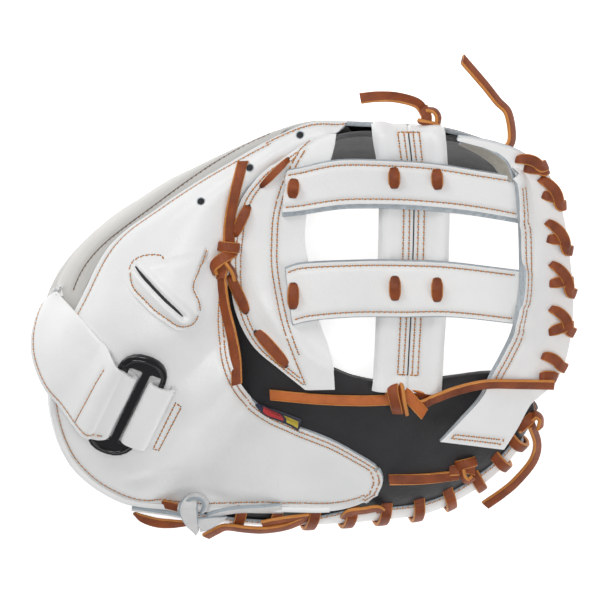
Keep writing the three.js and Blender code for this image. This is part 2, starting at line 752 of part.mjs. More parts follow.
function buckleKeeper(grow) {
  const rows = loopRows(keeperLoop, -strapSide(), barDirectionUp() * -keeperHalf);
  return loopSheet(rows, 22, 3, strapThick, grow, -1);
}
add('wrist_strap', colours.white, wristStrap);
add('buckle_keeper', colours.white, buckleKeeper);

function sideTab(grow) {
  const rows = named(['ax', 'ay', 'bx', 'by'], tabTable);
  const grid = panelGrid(rows, 5, 2, () => 0, below('palm_shell', 'back_panel'), 0.9);
  return sheetFrom(grid, leather, grow);
}
add('side_tab', colours.navy, sideTab);

function heelLace(grow) {
  const rows = named(heelColumns, heelTable);
  const path = curveThrough(rows, 'at', 'angle', 'out');
  const stops = path.getPoints(12).map((p) => rimPoint(p.x, p.y, p.z));
  return loft(flatRings(stops, laceWidth + 2, laceThick, grow));
}
add('heel_lace', colours.white, heelLace);

add('rim_lace_thumb', colours.tan, (grow) => rimLace(
  wrapStart.thumb, thumbWraps, -1, thumbSeat, grow));
add('rim_lace_finger', colours.tan, (grow) => rimLace(
  wrapStart.finger, fingerWraps, 1, fingerSeat, grow));

const webTop = below('palm_shell', 'back_panel', 'finger_side_wall', 'web_base', 'web_post', 'web_bar_upper',
  'web_bar_lower', 'web_top_band', 'rim_wall');

// Lace that dives through a sheet at a hole, runs on top to another place, and dives again
function topRun(ax, ay, bx, by, depth, lift) {
  const [a, b] = [vec(ax, ay, 0), vec(bx, by, 0)];
  a.z = heightOver(webTop, ax, ay) + lift;
  b.z = heightOver(webTop, bx, by) + lift;
  const along = b.clone().sub(a).normalize();
  const side = along.clone().cross(up).normalize();
  const normal = side.cross(along).normalize();
  const run = [];
  const parts = [0, 0.3, 0.7, 1];
  const firstHole = a.clone().addScaledVector(normal, -depth);
  const lastHole = b.clone().addScaledVector(normal, -depth);
  run.push({ point: firstHole, out: along.clone().negate(), heading: normal });
  for (const part of parts) {
    const p = a.clone().lerp(b, part);
    p.z = Math.max(heightOver(webTop, p.x, p.y) + lift, p.z);
    const slope = part === 0 ? along.clone().negate() : along.clone();
    const inside = part > 0 && part < 1;
    const out = inside ? normal.clone() : normal.clone().add(slope.multiplyScalar(0.8)).normalize();
    run.push({ point: p, out });
  }
  run.push({ point: lastHole, out: along, heading: normal.clone().negate() });
  return run;
}

function crescentLace(grow) {
  const stops = named(runColumns, crescentRuns).flatMap(
    ({ ax, ay, bx, by }) => topRun(ax, ay, bx, by, 4.6, laceThick / 2 + 0.9));
  return linkSweep(stops, stringWidth, laceThick, grow);
}
add('crescent_lace', colours.tan, crescentLace);

function bandLace(grow) {
  const stops = [];
  const inside = vec(70, 20, 60);
  const lift = laceThick / 2 + 1.1;
  const strand = (hx, hy, ex, ey) => {
    const away = vec(ex - inside.x, ey - inside.y, 0).normalize();
    const hole = vec(hx, hy, heightOver(webTop, hx, hy));
    const near = vec(ex, ey, 0).addScaledVector(away, -3);
    near.z = heightOver(webTop, near.x, near.y);
    const fall = near.clone().sub(hole).normalize();
    const normal = fall.clone().cross(up).cross(fall).normalize();
    const put = (from, rise, push, out, heading) => stops.push({
      point: from.clone().addScaledVector(normal, rise).addScaledVector(fall, push), out, heading,
    });
    const back = fall.clone().negate();
    const under = normal.clone().negate();
    put(hole, -bandThick - lift, 0.5, back.clone().add(under), normal.clone().sub(fall));
    put(hole, lift * 0.75, 0.5, normal.clone().sub(fall), normal.clone().add(fall));
    put(near, lift, 0, normal, fall);
    put(near, -bandThick / 2, 3.4 + lift, fall, under);
    put(near, -bandThick - lift, 0, under, back);
  };
  for (const pair of named(pairColumns, bandPairs)) {
    const along = vec(pair.edgeX - inside.x, pair.edgeY - inside.y, 0).normalize().cross(up);
    strand(pair.upperX, pair.upperY, pair.edgeX - 3.2 * along.x, pair.edgeY - 3.2 * along.y);
    strand(pair.lowerX, pair.lowerY, pair.edgeX + 3.2 * along.x, pair.edgeY + 3.2 * along.y);
  }
  return linkSweep(stops, laceWidth - 1.4, laceThick, grow);
}
add('web_band_lace', colours.tan, bandLace);

barLoops.forEach(([ax, ay, bx, by], i) => {
  const make = (grow) => linkSweep(
    topRun(ax, ay, bx, by, 14, laceThick / 2 + 0.4), stringWidth, laceThick, grow);
  add(`bar_lace_${i + 1}`, colours.tan, make);
});

// Knot: a rounded core with one turn of lace round it
function knot(row, grow) {
  const [x, y, alongX, alongY, radius, fixed] = row;
  const z = fixed || heightOver(webTop, x, y) + radius * 0.55;
  const along = vec(alongX, alongY, 0).normalize();
  const side = vec(-along.y, along.x, 0);
  const core = new THREE.IcosahedronGeometry(1, 1);
  const basis = new THREE.Matrix4().makeBasis(along, side, up);
  basis.scale(vec(radius + grow, radius * 0.72 + grow, radius * 0.55 + grow));
  basis.setPosition(x, y, z);
  core.applyMatrix4(basis);
  return core;
}
for (const [name, row] of Object.entries(knotTable)) {
  add(name, colours.tan, (grow) => knot(row, grow));
}

// Free lace end as a tube with eight flattened sides
function tail(points, grow) {
  const ends = points.map((p) => p.clone());
  ends[0].add(points[0].clone().sub(points[1]).setLength(grow));
  ends[ends.length - 1].add(points.at(-1).clone().sub(points.at(-2)).setLength(grow));
  const path = new THREE.CatmullRomCurve3(ends, false, 'catmullrom', 0.5);
  const section = new THREE.Shape();
  const [wide, high] = [laceWidth / 2 - 0.2 + grow, laceThick / 2 + 0.1 + grow];
  for (let i = 0; i < 8; i += 1) {
    const angle = Math.PI * (i + 0.5) / 4;
    const [px, py] = [high * Math.sin(angle), wide * Math.cos(angle)];
    if (i === 0) section.moveTo(px, py);
    else section.lineTo(px, py);
  }
  section.closePath();
  const steps = Math.max(4, Math.round(path.getLength() / (2.4 * laceWidth)));
  return new THREE.ExtrudeGeometry(section, { steps, extrudePath: path, bevelEnabled: false });
}
for (const [name, table] of Object.entries(tailTables)) {
  const points = table.map(
    ([x, y, z]) => vec(x, y, Math.max(z, heightOver(webTop, x, y) + laceThick / 2 + 1.2)));
  add(name, colours.tan, (grow) => tail(points, grow));
}
for (const [name, table] of Object.entries(freeTailTables)) {
  const points = table.map(([x, y, z]) => vec(x, y, z));
  add(name, colours.tan, (grow) => tail(points, grow));
}

// Solid of a closed mesh, or of a chain of them, for joining and cutting
function solid(geometry) {
  if (Array.isArray(geometry)) return wasm.Manifold.union(geometry.map(solid));
  const plain = geometry.clone();
  plain.deleteAttribute('normal');
  plain.deleteAttribute('uv');
  const merged = mergeVertices(plain, 1e-4);
  return new wasm.Manifold(new wasm.Mesh({
    numProp: 3,
    vertProperties: Float32Array.from(merged.attributes.position.array),
    triVerts: Uint32Array.from(merged.index.array),
  }));
}

function biggest(shape) {
  const bodies = shape.decompose();
  return bodies.reduce((a, b) => (a.volume() > b.volume() ? a : b));
}

function geometryOf(shape) {
  const mesh = shape.getMesh();
  const geometry = new THREE.BufferGeometry();
  geometry.setAttribute('position', new THREE.BufferAttribute(mesh.vertProperties.slice(), 3));
  geometry.setIndex(Array.from(mesh.triVerts));
  return geometry;
}

const boxesMeet = (a, b) => [0, 1, 2].every((k) => a.min[k] < b.max[k] && b.min[k] < a.max[k]);

// Shift that brings the outline's middle and the lowest point to the origin
const shift = { x: -1, y: 1, z: 0.2 };

// Each piece gives way to the pieces that lie over it or thread through it
const grown = order.map(({ make }) => solid(make(gap)));
const root = new THREE.Group();
order.forEach(({ name, colour, make }, i) => {
  let shape = solid(make(0));
  for (let j = i + 1; j < order.length; j += 1) {
    if (boxesMeet(shape.boundingBox(), grown[j].boundingBox())) shape = shape.subtract(grown[j]);
  }
  if (name === 'back_panel') {
    for (const [x, y] of eyelets) {
      const punch = new THREE.CylinderGeometry(eyeletRadius, eyeletRadius, 20, 10);
      punch.rotateX(Math.PI / 2);
      punch.translate(x, y, heightOver(below('back_panel'), x, y));
      shape = shape.subtract(solid(punch));
    }
  }
  const material = new THREE.MeshStandardMaterial({ color: colour, roughness: 0.6, metalness: 0 });
  const geometry = geometryOf(biggest(shape));
  geometry.translate(shift.x, shift.y, shift.z);
  const mesh = new THREE.Mesh(geometry, material);
  mesh.name = name;
  root.add(mesh);
});

export default root;
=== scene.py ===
# %% [markdown]
# # A softball catcher mitt
# The mitt lies pocket down, with its back to the camera. White leather covers the hand and makes the
# web, black leather makes the pocket, and red-brown lace holds it all together. This lesson loads the
# plain solids that the physics uses and builds a finished skin over each of them, piece by piece.

import math

import bpy
import numpy as np
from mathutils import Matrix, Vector, noise
from mathutils.bvhtree import BVHTree


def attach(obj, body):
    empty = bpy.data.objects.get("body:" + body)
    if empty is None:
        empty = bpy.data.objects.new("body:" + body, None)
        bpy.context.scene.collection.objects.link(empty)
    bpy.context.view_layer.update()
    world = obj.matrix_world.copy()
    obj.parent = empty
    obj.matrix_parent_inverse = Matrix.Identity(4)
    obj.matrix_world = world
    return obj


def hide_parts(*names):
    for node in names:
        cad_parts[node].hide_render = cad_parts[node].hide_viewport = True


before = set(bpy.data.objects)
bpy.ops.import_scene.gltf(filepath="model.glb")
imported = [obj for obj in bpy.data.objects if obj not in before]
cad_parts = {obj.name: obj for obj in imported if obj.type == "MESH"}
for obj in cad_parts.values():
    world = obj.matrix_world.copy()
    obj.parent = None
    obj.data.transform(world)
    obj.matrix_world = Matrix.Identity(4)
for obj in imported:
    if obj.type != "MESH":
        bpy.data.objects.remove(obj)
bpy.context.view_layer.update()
scene = bpy.context.scene

# %% [markdown]
# ## Camera, floor and light
# A product photo of a mitt is taken from far away, square to the surface that it lies on. A long lens at
# four metres gives the same flat look. The floor is a white sheet that glows a little by itself, standing in
# for a sheet lit from behind, and its glow also lights the mitt from below. Large soft lamps stand in for a
# studio's light boxes: one straight above, which also lights the floor through the web, one at the upper
# left, which gives the leather its shading, and a weak one at the lower right.

# %% Set up the camera, the floor and the lights
MM = 0.001
UP = np.array([0.0, 0.0, 1.0])
FRAME_WIDTH = 360 * MM
FOCUS_HEIGHT = 85 * MM
CAMERA_HEIGHT = 4.0
VIEW_CENTRE = (-1 * MM, 14.2 * MM)

LIGHT_AIM = (0, 0, 60 * MM)
WORLD_STRENGTH = 0.22
FLOOR_HEIGHT = -0.4 * MM


def link(name, data):
    """An object of some data, in the scene"""
    made = bpy.data.objects.new(name, data)
    scene.collection.objects.link(made)
    return made


camera_data = bpy.data.cameras.new("photo_camera")
camera_data.sensor_width = 36
camera_data.lens = camera_data.sensor_width * (CAMERA_HEIGHT - FOCUS_HEIGHT) / FRAME_WIDTH
camera_data.clip_end = 20
scene.camera = link("photo_camera", camera_data)
scene.camera.location = (*VIEW_CENTRE, CAMERA_HEIGHT)


def area_light(name, place, aim, size, power):
    """A square soft box that looks at a point"""
    data = bpy.data.lights.new(name, "AREA")
    data.size = size
    data.energy = power
    lamp = link(name, data)
    lamp.location = place
    lamp.rotation_euler = (Vector(aim) - Vector(place)).to_track_quat("-Z", "Y").to_euler()


area_light("key_box", (-0.75, 0.95, 1.15), LIGHT_AIM, 0.6, 9.5)
area_light("fill_box", (1.1, -0.7, 1.0), LIGHT_AIM, 1.1, 6)
area_light("top_box", (*VIEW_CENTRE, 4.6), (*VIEW_CENTRE, 0), 1.6, 80)

world = bpy.data.worlds.new("studio")
world.use_nodes = True
sky = world.node_tree.nodes["Background"].inputs
sky["Color"].default_value = (1, 1, 1, 1)
sky["Strength"].default_value = WORLD_STRENGTH
scene.world = world
scene.view_settings.view_transform = "Standard"

bpy.ops.object.select_all(action="DESELECT")
bpy.ops.mesh.primitive_plane_add(size=6, location=(0, 0, FLOOR_HEIGHT))
floor = bpy.context.active_object
floor.name = "floor"
print("Lens", round(camera_data.lens), "mm, from", CAMERA_HEIGHT, "m")

# %% [markdown]
# ## Materials
# Every finish is procedural and reads Object coordinates, so the grain stays on the leather. Leather has
# three scales: fine pores, a pebbled grain and broad, faint changes of tone. Cut edges are fibrous and
# blue-grey where the tanning shows. Lace keeps its own UV map, so that its two cut edges can be orange
# while its faces are red-brown.

# %% Make helpers for node materials
def new_material(name, **sockets):
    """A material with a Principled shader whose sockets are set by name"""
    material = bpy.data.materials.new(name)
    material.use_nodes = True
    shader = material.node_tree.nodes["Principled BSDF"]
    for socket, value in sockets.items():
        shader.inputs[socket.replace("_", " ")].default_value = value
    return material, shader


def add_node(material, kind, settings=None, **values):
    """A node of a kind, with its settings, its socket values, and links where a value is a socket"""
    tree = material.node_tree
    made = tree.nodes.new("ShaderNode" + kind)
    for key, value in (settings or {}).items():
        setattr(made, key, value)
    for key, value in values.items():
        socket = made.inputs[int(key[1:])] if key[0] == "i" and key[1:].isdigit() else made.inputs[key]
        if isinstance(value, bpy.types.NodeSocket):
            tree.links.new(value, socket)
        else:
            socket.default_value = value
    return made


def stretched(material, place, scale):
    return add_node(material, "Mapping", Vector=place, Scale=scale).outputs["Vector"]


def object_place(material, scale=(1, 1, 1)):
    """Object coordinates, stretched where the pattern should be"""
    return stretched(material, add_node(material, "TexCoord").outputs["Object"], scale)


def noise_of(material, place, scale, detail=3.0, roughness=0.5):
    return add_node(material, "TexNoise", Vector=place, Scale=scale, Detail=detail,
                    Roughness=roughness).outputs["Fac"]


def between(material, low, high, value, spread=(0, 1)):
    """The value, spread so that low becomes the first of two numbers and high the second"""
    node = add_node(material, "MapRange", Value=value)
    for socket, number in zip(("From Min", "From Max", "To Min", "To Max"), (low, high, *spread)):
        node.inputs[socket].default_value = number
    return node.outputs["Result"]


def blend_colour(material, factor, first, second):
    """A mix of two colours, each a socket or its red, green and blue"""
    first, second = ((*c, 1) if isinstance(c, tuple) else c for c in (first, second))
    return add_node(material, "Mix", {"data_type": "RGBA"}, i0=factor, i6=first, i7=second).outputs[2]


def maths(material, operation, *values):
    """The result of a Math node. A value is a number or a socket."""
    values = {f"i{k}": value for k, value in enumerate(values)}
    return add_node(material, "Math", {"operation": operation}, **values).outputs[0]


def bump(material, shader, heights):
    """Stack bumps on a shader: pairs of a height socket and its depth in millimetres"""
    normal = None
    for height, depth in heights:
        node = add_node(material, "Bump", Height=height, Distance=depth * MM)
        if normal is not None:
            material.node_tree.links.new(normal, node.inputs["Normal"])
        normal = node.outputs["Normal"]
    material.node_tree.links.new(normal, shader.inputs["Normal"])


def into(material, socket, shader, name):
    material.node_tree.links.new(socket, shader.inputs[name])


# %% [markdown]
# Grain leather is a skin of rounded pebbles with tiny pores, and fold lines open where it bends. A Voronoi
# pattern gives the pebbles and noise bends them, so that no two look alike. Near a seam the leather is a
# little darker: that is painted shade, for the dip that the stitches pinch, and the pieces carry it as an
# attribute.

# %% Grain leather, white and black
def grain_leather(name, light, dark, seam, pebble, rough, depth):
    material, shader = new_material(name, Roughness=rough[0], Coat_Weight=0.08, Coat_Roughness=0.35)
    place = object_place(material)
    bend = add_node(material, "TexNoise", Vector=place, Scale=420.0, Detail=2.0).outputs["Color"]
    bent = add_node(material, "VectorMath", {"operation": "MULTIPLY_ADD"}, i0=bend,
                    i1=(1.2 * MM,) * 3, i2=place).outputs[0]
    cells = add_node(material, "TexVoronoi", {"feature": "SMOOTH_F1"}, Vector=bent, Scale=pebble)
    pebbles = cells.outputs["Distance"]
    fine = noise_of(material, place, 2600.0, 2.0)
    broad = noise_of(material, place, 14.0, 4.0, 0.55)
    creases = noise_of(material, object_place(material, (1, 0.35, 1)), 130.0, 5.0, 0.6)
    tone = blend_colour(material, between(material, 0.3, 0.72, broad), light, dark)
    # The seam attribute darkens the colour beside the stitches: painted shade in the seam's dip.
    near = add_node(material, "Attribute", {"attribute_name": "seam"}).outputs["Fac"]
    into(material, blend_colour(material, near, tone, seam), shader, "Base Color")
    into(material, between(material, 0, 1, creases, rough), shader, "Roughness")
    bump(material, shader, [(creases, depth[0]), (pebbles, depth[1]), (fine, depth[2])])
    return material


WHITE = grain_leather("white_grain_leather", (0.86, 0.86, 0.855), (0.76, 0.765, 0.77),
                      (0.55, 0.52, 0.49), 900.0, (0.36, 0.52), (0.35, 0.10, 0.03))
# A darker copy of the white leather, for the finger side, which faces away from the light: painted shade.
SHADED_WHITE = grain_leather("shaded_white_leather", (0.60, 0.585, 0.56), (0.50, 0.49, 0.47),
                             (0.42, 0.39, 0.36), 900.0, (0.4, 0.55), (0.35, 0.10, 0.03))
BLACK = grain_leather("black_grain_leather", (0.020, 0.019, 0.021), (0.030, 0.029, 0.032),
                      (0.012, 0.011, 0.012), 1100.0, (0.34, 0.5), (0.30, 0.14, 0.03))


# %% [markdown]
# The flesh side is suede: matt, fibrous and a little warm. The cut edge shows the blue-grey core of
# chrome-tanned leather, in thin layers.

# %% Flesh side and cut edges
def fibrous(name, light, dark, scale, rough, depth):
    material, shader = new_material(name, Roughness=rough, Sheen_Weight=0.15)
    place = object_place(material)
    fibres = noise_of(material, place, scale, 6.0, 0.7)
    layers = noise_of(material, object_place(material, (0.3, 0.3, 1.6)), scale * 0.6, 3.0)
    mixed = between(material, 0.12, 0.4, maths(material, "MULTIPLY", fibres, layers))
    into(material, blend_colour(material, mixed, dark, light), shader, "Base Color")
    bump(material, shader, [(fibres, depth)])
    return material


FLESH = fibrous("flesh_side", (0.47, 0.44, 0.38), (0.34, 0.32, 0.28), 900.0, 0.9, 0.15)
CUT = fibrous("cut_edge", (0.55, 0.60, 0.64), (0.32, 0.36, 0.39), 1300.0, 0.8, 0.12)
ONE_SKIN = (WHITE, WHITE, WHITE)


# %% [markdown]
# Mitt lace is a strip of oiled rawhide. Its face is waxed red-brown with fine lines along it, and its cut
# edges are lighter and more orange. The lace meshes below have a UV map whose u goes round the section, so
# two bands of u are the edges, and whose v is the length in metres.

# %% Lace, thread and plastic
def lace_leather(name, face, deep, edge, edge_deep):
    material, shader = new_material(name, Roughness=0.5, Specular_IOR_Level=0.35)
    uv = add_node(material, "UVMap").outputs["UV"]
    round_section = add_node(material, "SeparateXYZ", Vector=uv).outputs["X"]
    twice = maths(material, "PINGPONG", round_section, 0.25)
    place = object_place(material)
    ragged = maths(material, "MULTIPLY_ADD", noise_of(material, place, 700.0, 4.0, 0.6), 0.03, twice)
    is_edge = between(material, 0.168, 0.183, ragged)
    lines = noise_of(material, stretched(material, uv, (34, 120, 1)), 1.0, 4.0)
    stain = noise_of(material, place, 90.0, 3.0)
    tone = blend_colour(material, between(material, 0.3, 0.7, stain), deep, face)
    lit = blend_colour(material, between(material, 0.35, 0.8, lines), edge_deep, edge)
    into(material, blend_colour(material, is_edge, tone, lit), shader, "Base Color")
    wrinkles = noise_of(material, stretched(material, uv, (3, 900, 1)), 1.0, 2.0)
    bump(material, shader, [(lines, 0.3), (between(material, 0.55, 0.8, wrinkles), 0.25),
                            (noise_of(material, place, 1500.0), 0.05)])
    return material


def mottled(name, scale, detail, first, second, depth, span=(0, 1), relief=None, **sockets):
    """Noise between two colours, which is the relief too unless that has a scale of its own"""
    material, shader = new_material(name, **sockets)
    pattern = noise_of(material, object_place(material), scale, detail)
    colour = blend_colour(material, between(material, *span, pattern), first, second)
    into(material, colour, shader, "Base Color")
    height = noise_of(material, object_place(material), relief) if relief else pattern
    bump(material, shader, [(height, depth)])
    return material


LACE = lace_leather("tan_lace", (0.30, 0.069, 0.015), (0.165, 0.035, 0.010),
                    (0.78, 0.36, 0.09), (0.50, 0.17, 0.035))
PALE_LACE = lace_leather("pale_tan_lace", (0.53, 0.144, 0.025), (0.42, 0.103, 0.020),
                         (0.72, 0.33, 0.085), (0.50, 0.18, 0.04))
WHITE_LACE = lace_leather("white_lace", (0.73, 0.73, 0.725), (0.64, 0.64, 0.64),
                          (0.46, 0.52, 0.56), (0.34, 0.39, 0.43))
THREAD = mottled("waxed_thread", 1900.0, 3.0, (0.40, 0.145, 0.035), (0.62, 0.27, 0.07), 0.12,
                 (0.35, 0.65), Roughness=0.5, Sheen_Weight=0.2)
GREY_THREAD = mottled("grey_thread", 1900.0, 3.0, (0.09, 0.055, 0.04), (0.22, 0.14, 0.09), 0.12,
                      Roughness=0.55, Sheen_Weight=0.2)
PLASTIC = mottled("glossy_plastic", 60.0, 4.0, (0.006, 0.006, 0.007), (0.014, 0.014, 0.016), 0.02,
                  relief=900.0, Roughness=0.18, Specular_IOR_Level=0.6)
# A near-black finish for painted shade: needle holes, lace holes, eyelets, the finger slit and the post's
# groove.
PAINTED_SHADE = mottled("painted_shade", 1200.0, 4.0, (0.010, 0.010, 0.012), (0.035, 0.035, 0.04), 0.2,
               Roughness=0.85)
# The floor's emission makes it glow by itself, standing in for a lamp behind it.
FLOOR = mottled("pale_floor", 300.0, 3.0, (0.93, 0.93, 0.93), (0.96, 0.96, 0.96), 0.0,
                Roughness=0.7, Emission_Color=(1, 1, 1, 1), Emission_Strength=0.7)
floor.data.materials.append(FLOOR)
print("Materials:", len(bpy.data.materials))

# %% [markdown]
# ## Surfaces from short tables
# A mitt has no flat sides, so each leather is drawn as a few sections: a row of the table gives both ends
# of one straight section, and a smooth curve joins the rows. A grid primitive laid on that surface is the
# piece of leather. Solidify then gives it its thickness and Bevel rounds its cut edge, as a knife leaves it.
# The tables are in millimetres, about a point close to the part's origin.

# %% Curves, grids and thickness
SHIFT = np.array([-1.0, 1.0, 0.2])
SHARP_ANGLE = math.radians(50)
PUFF_POWER = 0.35
LUMP_SIZE = 22.0
SEAM_REACH = 1.7
SEAM_SHADE = 0.4
LEATHER_THICK = 2.2


def metres(points):
    return (np.asarray(points, float) + SHIFT) * MM


def unit(vectors):
    return vectors / np.maximum(np.linalg.norm(vectors, axis=-1, keepdims=True), 1e-9)


def curve(rows, places):
    """Smooth curve through rows of values, at places from 0 to 1"""
    rows = np.asarray(rows, float)
    ends = np.vstack([2 * rows[0] - rows[1], rows, 2 * rows[-1] - rows[-2]])
    spot = np.clip(places, 0, 1) * (len(rows) - 1)
    first = np.minimum(spot.astype(int), len(rows) - 2)
    w = (spot - first)[..., None]
    a, b, c, d = (ends[first + k] for k in range(4))
    return b + 0.5 * w * (c - a + w * (2 * a - 5 * b + 4 * c - d + w * (3 * (b - c) + d - a)))


def tree_of(piece):
    """A search tree of a finished piece, to lay others on it"""
    return BVHTree.FromObject(piece, bpy.context.evaluated_depsgraph_get())


def rest_height(trees, x, y):
    """Height of the highest of some pieces over a point of the floor"""
    start = Vector(metres((x, y, 400)))
    best = -1e3
    for tree in trees:
        hit = tree.ray_cast(start, Vector((0, 0, -1)))[0]
        if hit is not None:
            best = max(best, hit.z / MM - SHIFT[2])
    return best


def lying_on(trees, spots, lift=0.0):
    """Places seen from above, at the height of some pieces"""
    return np.array([(x, y, rest_height(trees, x, y) + lift) for x, y in spots])


def steps_to(count):
    """The shares from 0 to 1 along a number of steps"""
    return np.linspace(0, 1, count + 1)


def ends_of(span, count):
    """The first and last of a number of rows that a span of shares covers"""
    return [int(round(share * (count - 1))) for share in span]


def drape(points, below, clearance, span=(0.0, 1.0), passes=40):
    """Lift a grid clear of what lies under some of its rows. The lift fades as a taut sheet does."""
    need = np.zeros(points.shape[:2])
    first, last = (int(round(share * len(points))) for share in span)
    for i, j in np.ndindex(last - first, points.shape[1]):
        x, y, z = points[first + i, j]
        need[first + i, j] = max(rest_height(below, x, y) + clearance - z, 0)
    lift = need
    for _ in range(passes):
        wide = np.pad(lift, 1, mode="edge")
        mean = (wide[:-2, 1:-1] + wide[2:, 1:-1] + wide[1:-1, :-2] + wide[1:-1, 2:]) / 4
        lift = np.maximum(need, mean)
    points[..., 2] += lift
    return points


def smooth_ends(points, first=14, last=0):
    """Even out the heights of a sheet's short end rows, where it is too narrow to follow bumps"""
    u = np.linspace(0, 1, points.shape[1])
    for row in [*points[:first], *(points[-last:] if last else [])]:
        row[:, 2] = np.polyval(np.polyfit(u, row[:, 2], 2), u)
    return points


def on_grid(table):
    """A seam through places seen from above, with the heights of the sheet's nearest points"""
    def seam(grid):
        flat = grid.reshape(-1, 3)
        spots = curve(np.array(table, float), np.linspace(0, 1, 6 * len(table)))
        nearest = [np.argmin(np.hypot(flat[:, 0] - x, flat[:, 1] - y)) for x, y in spots]
        return np.array([(x, y, flat[k, 2]) for (x, y), k in zip(spots, nearest)])
    return seam


def section_grid(rows, along, across, height=None, below=(), clearance=0.5, span=(0.0, 1.0)):
    """Grid over sections that run from a to b: columns ax ay az bx by bz crown lift"""
    at = curve([(*row, *[0] * (8 - len(row))) for row in rows], steps_to(along))
    u = steps_to(across)[None, :, None]
    points = at[:, None, 0:3] * (1 - u) + at[:, None, 3:6] * u
    if height is not None:
        points[..., 2] = height(points[..., 0], points[..., 1])
    points[..., 2] += at[:, None, 6] * 4 * u[..., 0] * (1 - u[..., 0]) + at[:, None, 7]
    return drape(points, below, clearance, span) if below else points


def flat_rows(table):
    """Sections whose height comes later: columns ax ay bx by and, if any, lift"""
    return [(ax, ay, 0, bx, by, 0, 0, *lift) for ax, ay, bx, by, *lift in table]


def tuck_in(base, depth, until, fade, reach):
    """Sink side a of a grid, up to a share of its length, so that it runs into what lies under it"""
    share = steps_to(len(base) - 1)[:, None]
    from_a = np.linalg.norm(base - base[:, :1], axis=2)
    return -depth * np.clip((until - share) / fade, 0, 1) * np.exp(-(from_a / reach) ** 2)


def facing_of(points, toward):
    """The grid's normals, on the side that looks towards a direction"""
    normals = unit(np.cross(np.gradient(points, axis=0), np.gradient(points, axis=1)))
    return normals if (normals * toward).sum() > 0 else -normals


def inset_line(points, side, inset, span=(0.0, 1.0)):
    """The line a distance in from one side of a grid: a, b, its start or its end"""
    turned = points if side in ("a", "b") else points.transpose(1, 0, 2)
    turned = turned[:, ::-1] if side in ("b", "end") else turned
    steps = np.linalg.norm(np.diff(turned, axis=1), axis=2)
    lengths = np.concatenate([np.zeros((len(turned), 1)), np.cumsum(steps, axis=1)], axis=1)
    line = np.array([[np.interp(inset, lengths[i], turned[i, :, k]) for k in range(3)]
                     for i in range(len(turned))])
    first, last = ends_of(span, len(line))
    return line[first:last + 1]


def seam_at(side, inset, span=(0.0, 1.0)):
    """A seam a distance in from one side of whichever grid it is asked for"""
    return lambda grid: inset_line(grid, side, inset, span)


def closeness(points, lines, reach):
    """How near each point is to some lines, from 0 to 1"""
    if not lines:
        return np.zeros(points.shape[:2])
    spots = np.vstack([curve(line, np.linspace(0, 1, 3 * len(line))) for line in lines])
    flat = points.reshape(-1, 3)
    nearest = np.array([np.min(np.linalg.norm(spots - p, axis=1)) for p in flat])
    return np.exp(-(nearest / reach) ** 2).reshape(points.shape[:2])


def lumps(points, size, seed):
    """Smooth noise over a grid, about from -1 to 1"""
    flat = points.reshape(-1, 3) / size + seed * 7.3
    return np.array([noise.noise(Vector(p)) for p in flat]).reshape(points.shape[:2])


def pick(*pieces):
    """Select some pieces and make the first of them active"""
    bpy.ops.object.select_all(action="DESELECT")
    for piece in pieces:
        piece.select_set(True)
    bpy.context.view_layer.objects.active = pieces[0]


def weld(distance, closed=True):
    """Merge the active mesh's doubled points, fill its holes and turn its faces outwards"""
    bpy.ops.object.mode_set(mode="EDIT")
    bpy.ops.mesh.select_all(action="SELECT")
    bpy.ops.mesh.remove_doubles(threshold=distance * MM)
    if closed:
        bpy.ops.mesh.fill_holes(sides=0)
        bpy.ops.mesh.select_all(action="SELECT")
    bpy.ops.mesh.normals_make_consistent(inside=False)
    bpy.ops.object.mode_set(mode="OBJECT")


def apply_modifiers(piece):
    pick(piece)
    for modifier in list(piece.modifiers):
        bpy.ops.object.modifier_apply(modifier=modifier.name)


def lay_grid(name, points, materials):
    """A grid primitive, laid on rows of points"""
    rows, cols = points.shape[:2]
    bpy.ops.object.select_all(action="DESELECT")
    bpy.ops.mesh.primitive_grid_add(x_subdivisions=cols - 1, y_subdivisions=rows - 1, size=1)
    piece = bpy.context.active_object
    piece.name = piece.data.name = name
    piece.data.vertices.foreach_set("co", metres(points).ravel())
    for material in materials:
        piece.data.materials.append(material)
    piece.data.update()
    return piece


def finish_piece(piece, slot, *nodes):
    """Smooth shading, the body it rides on, and the plain solids that it stands for. The slot is not used.
    """
    pick(piece)
    bpy.ops.object.shade_smooth_by_angle(angle=SHARP_ANGLE)
    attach(piece, "root")
    if nodes:
        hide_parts(*nodes)


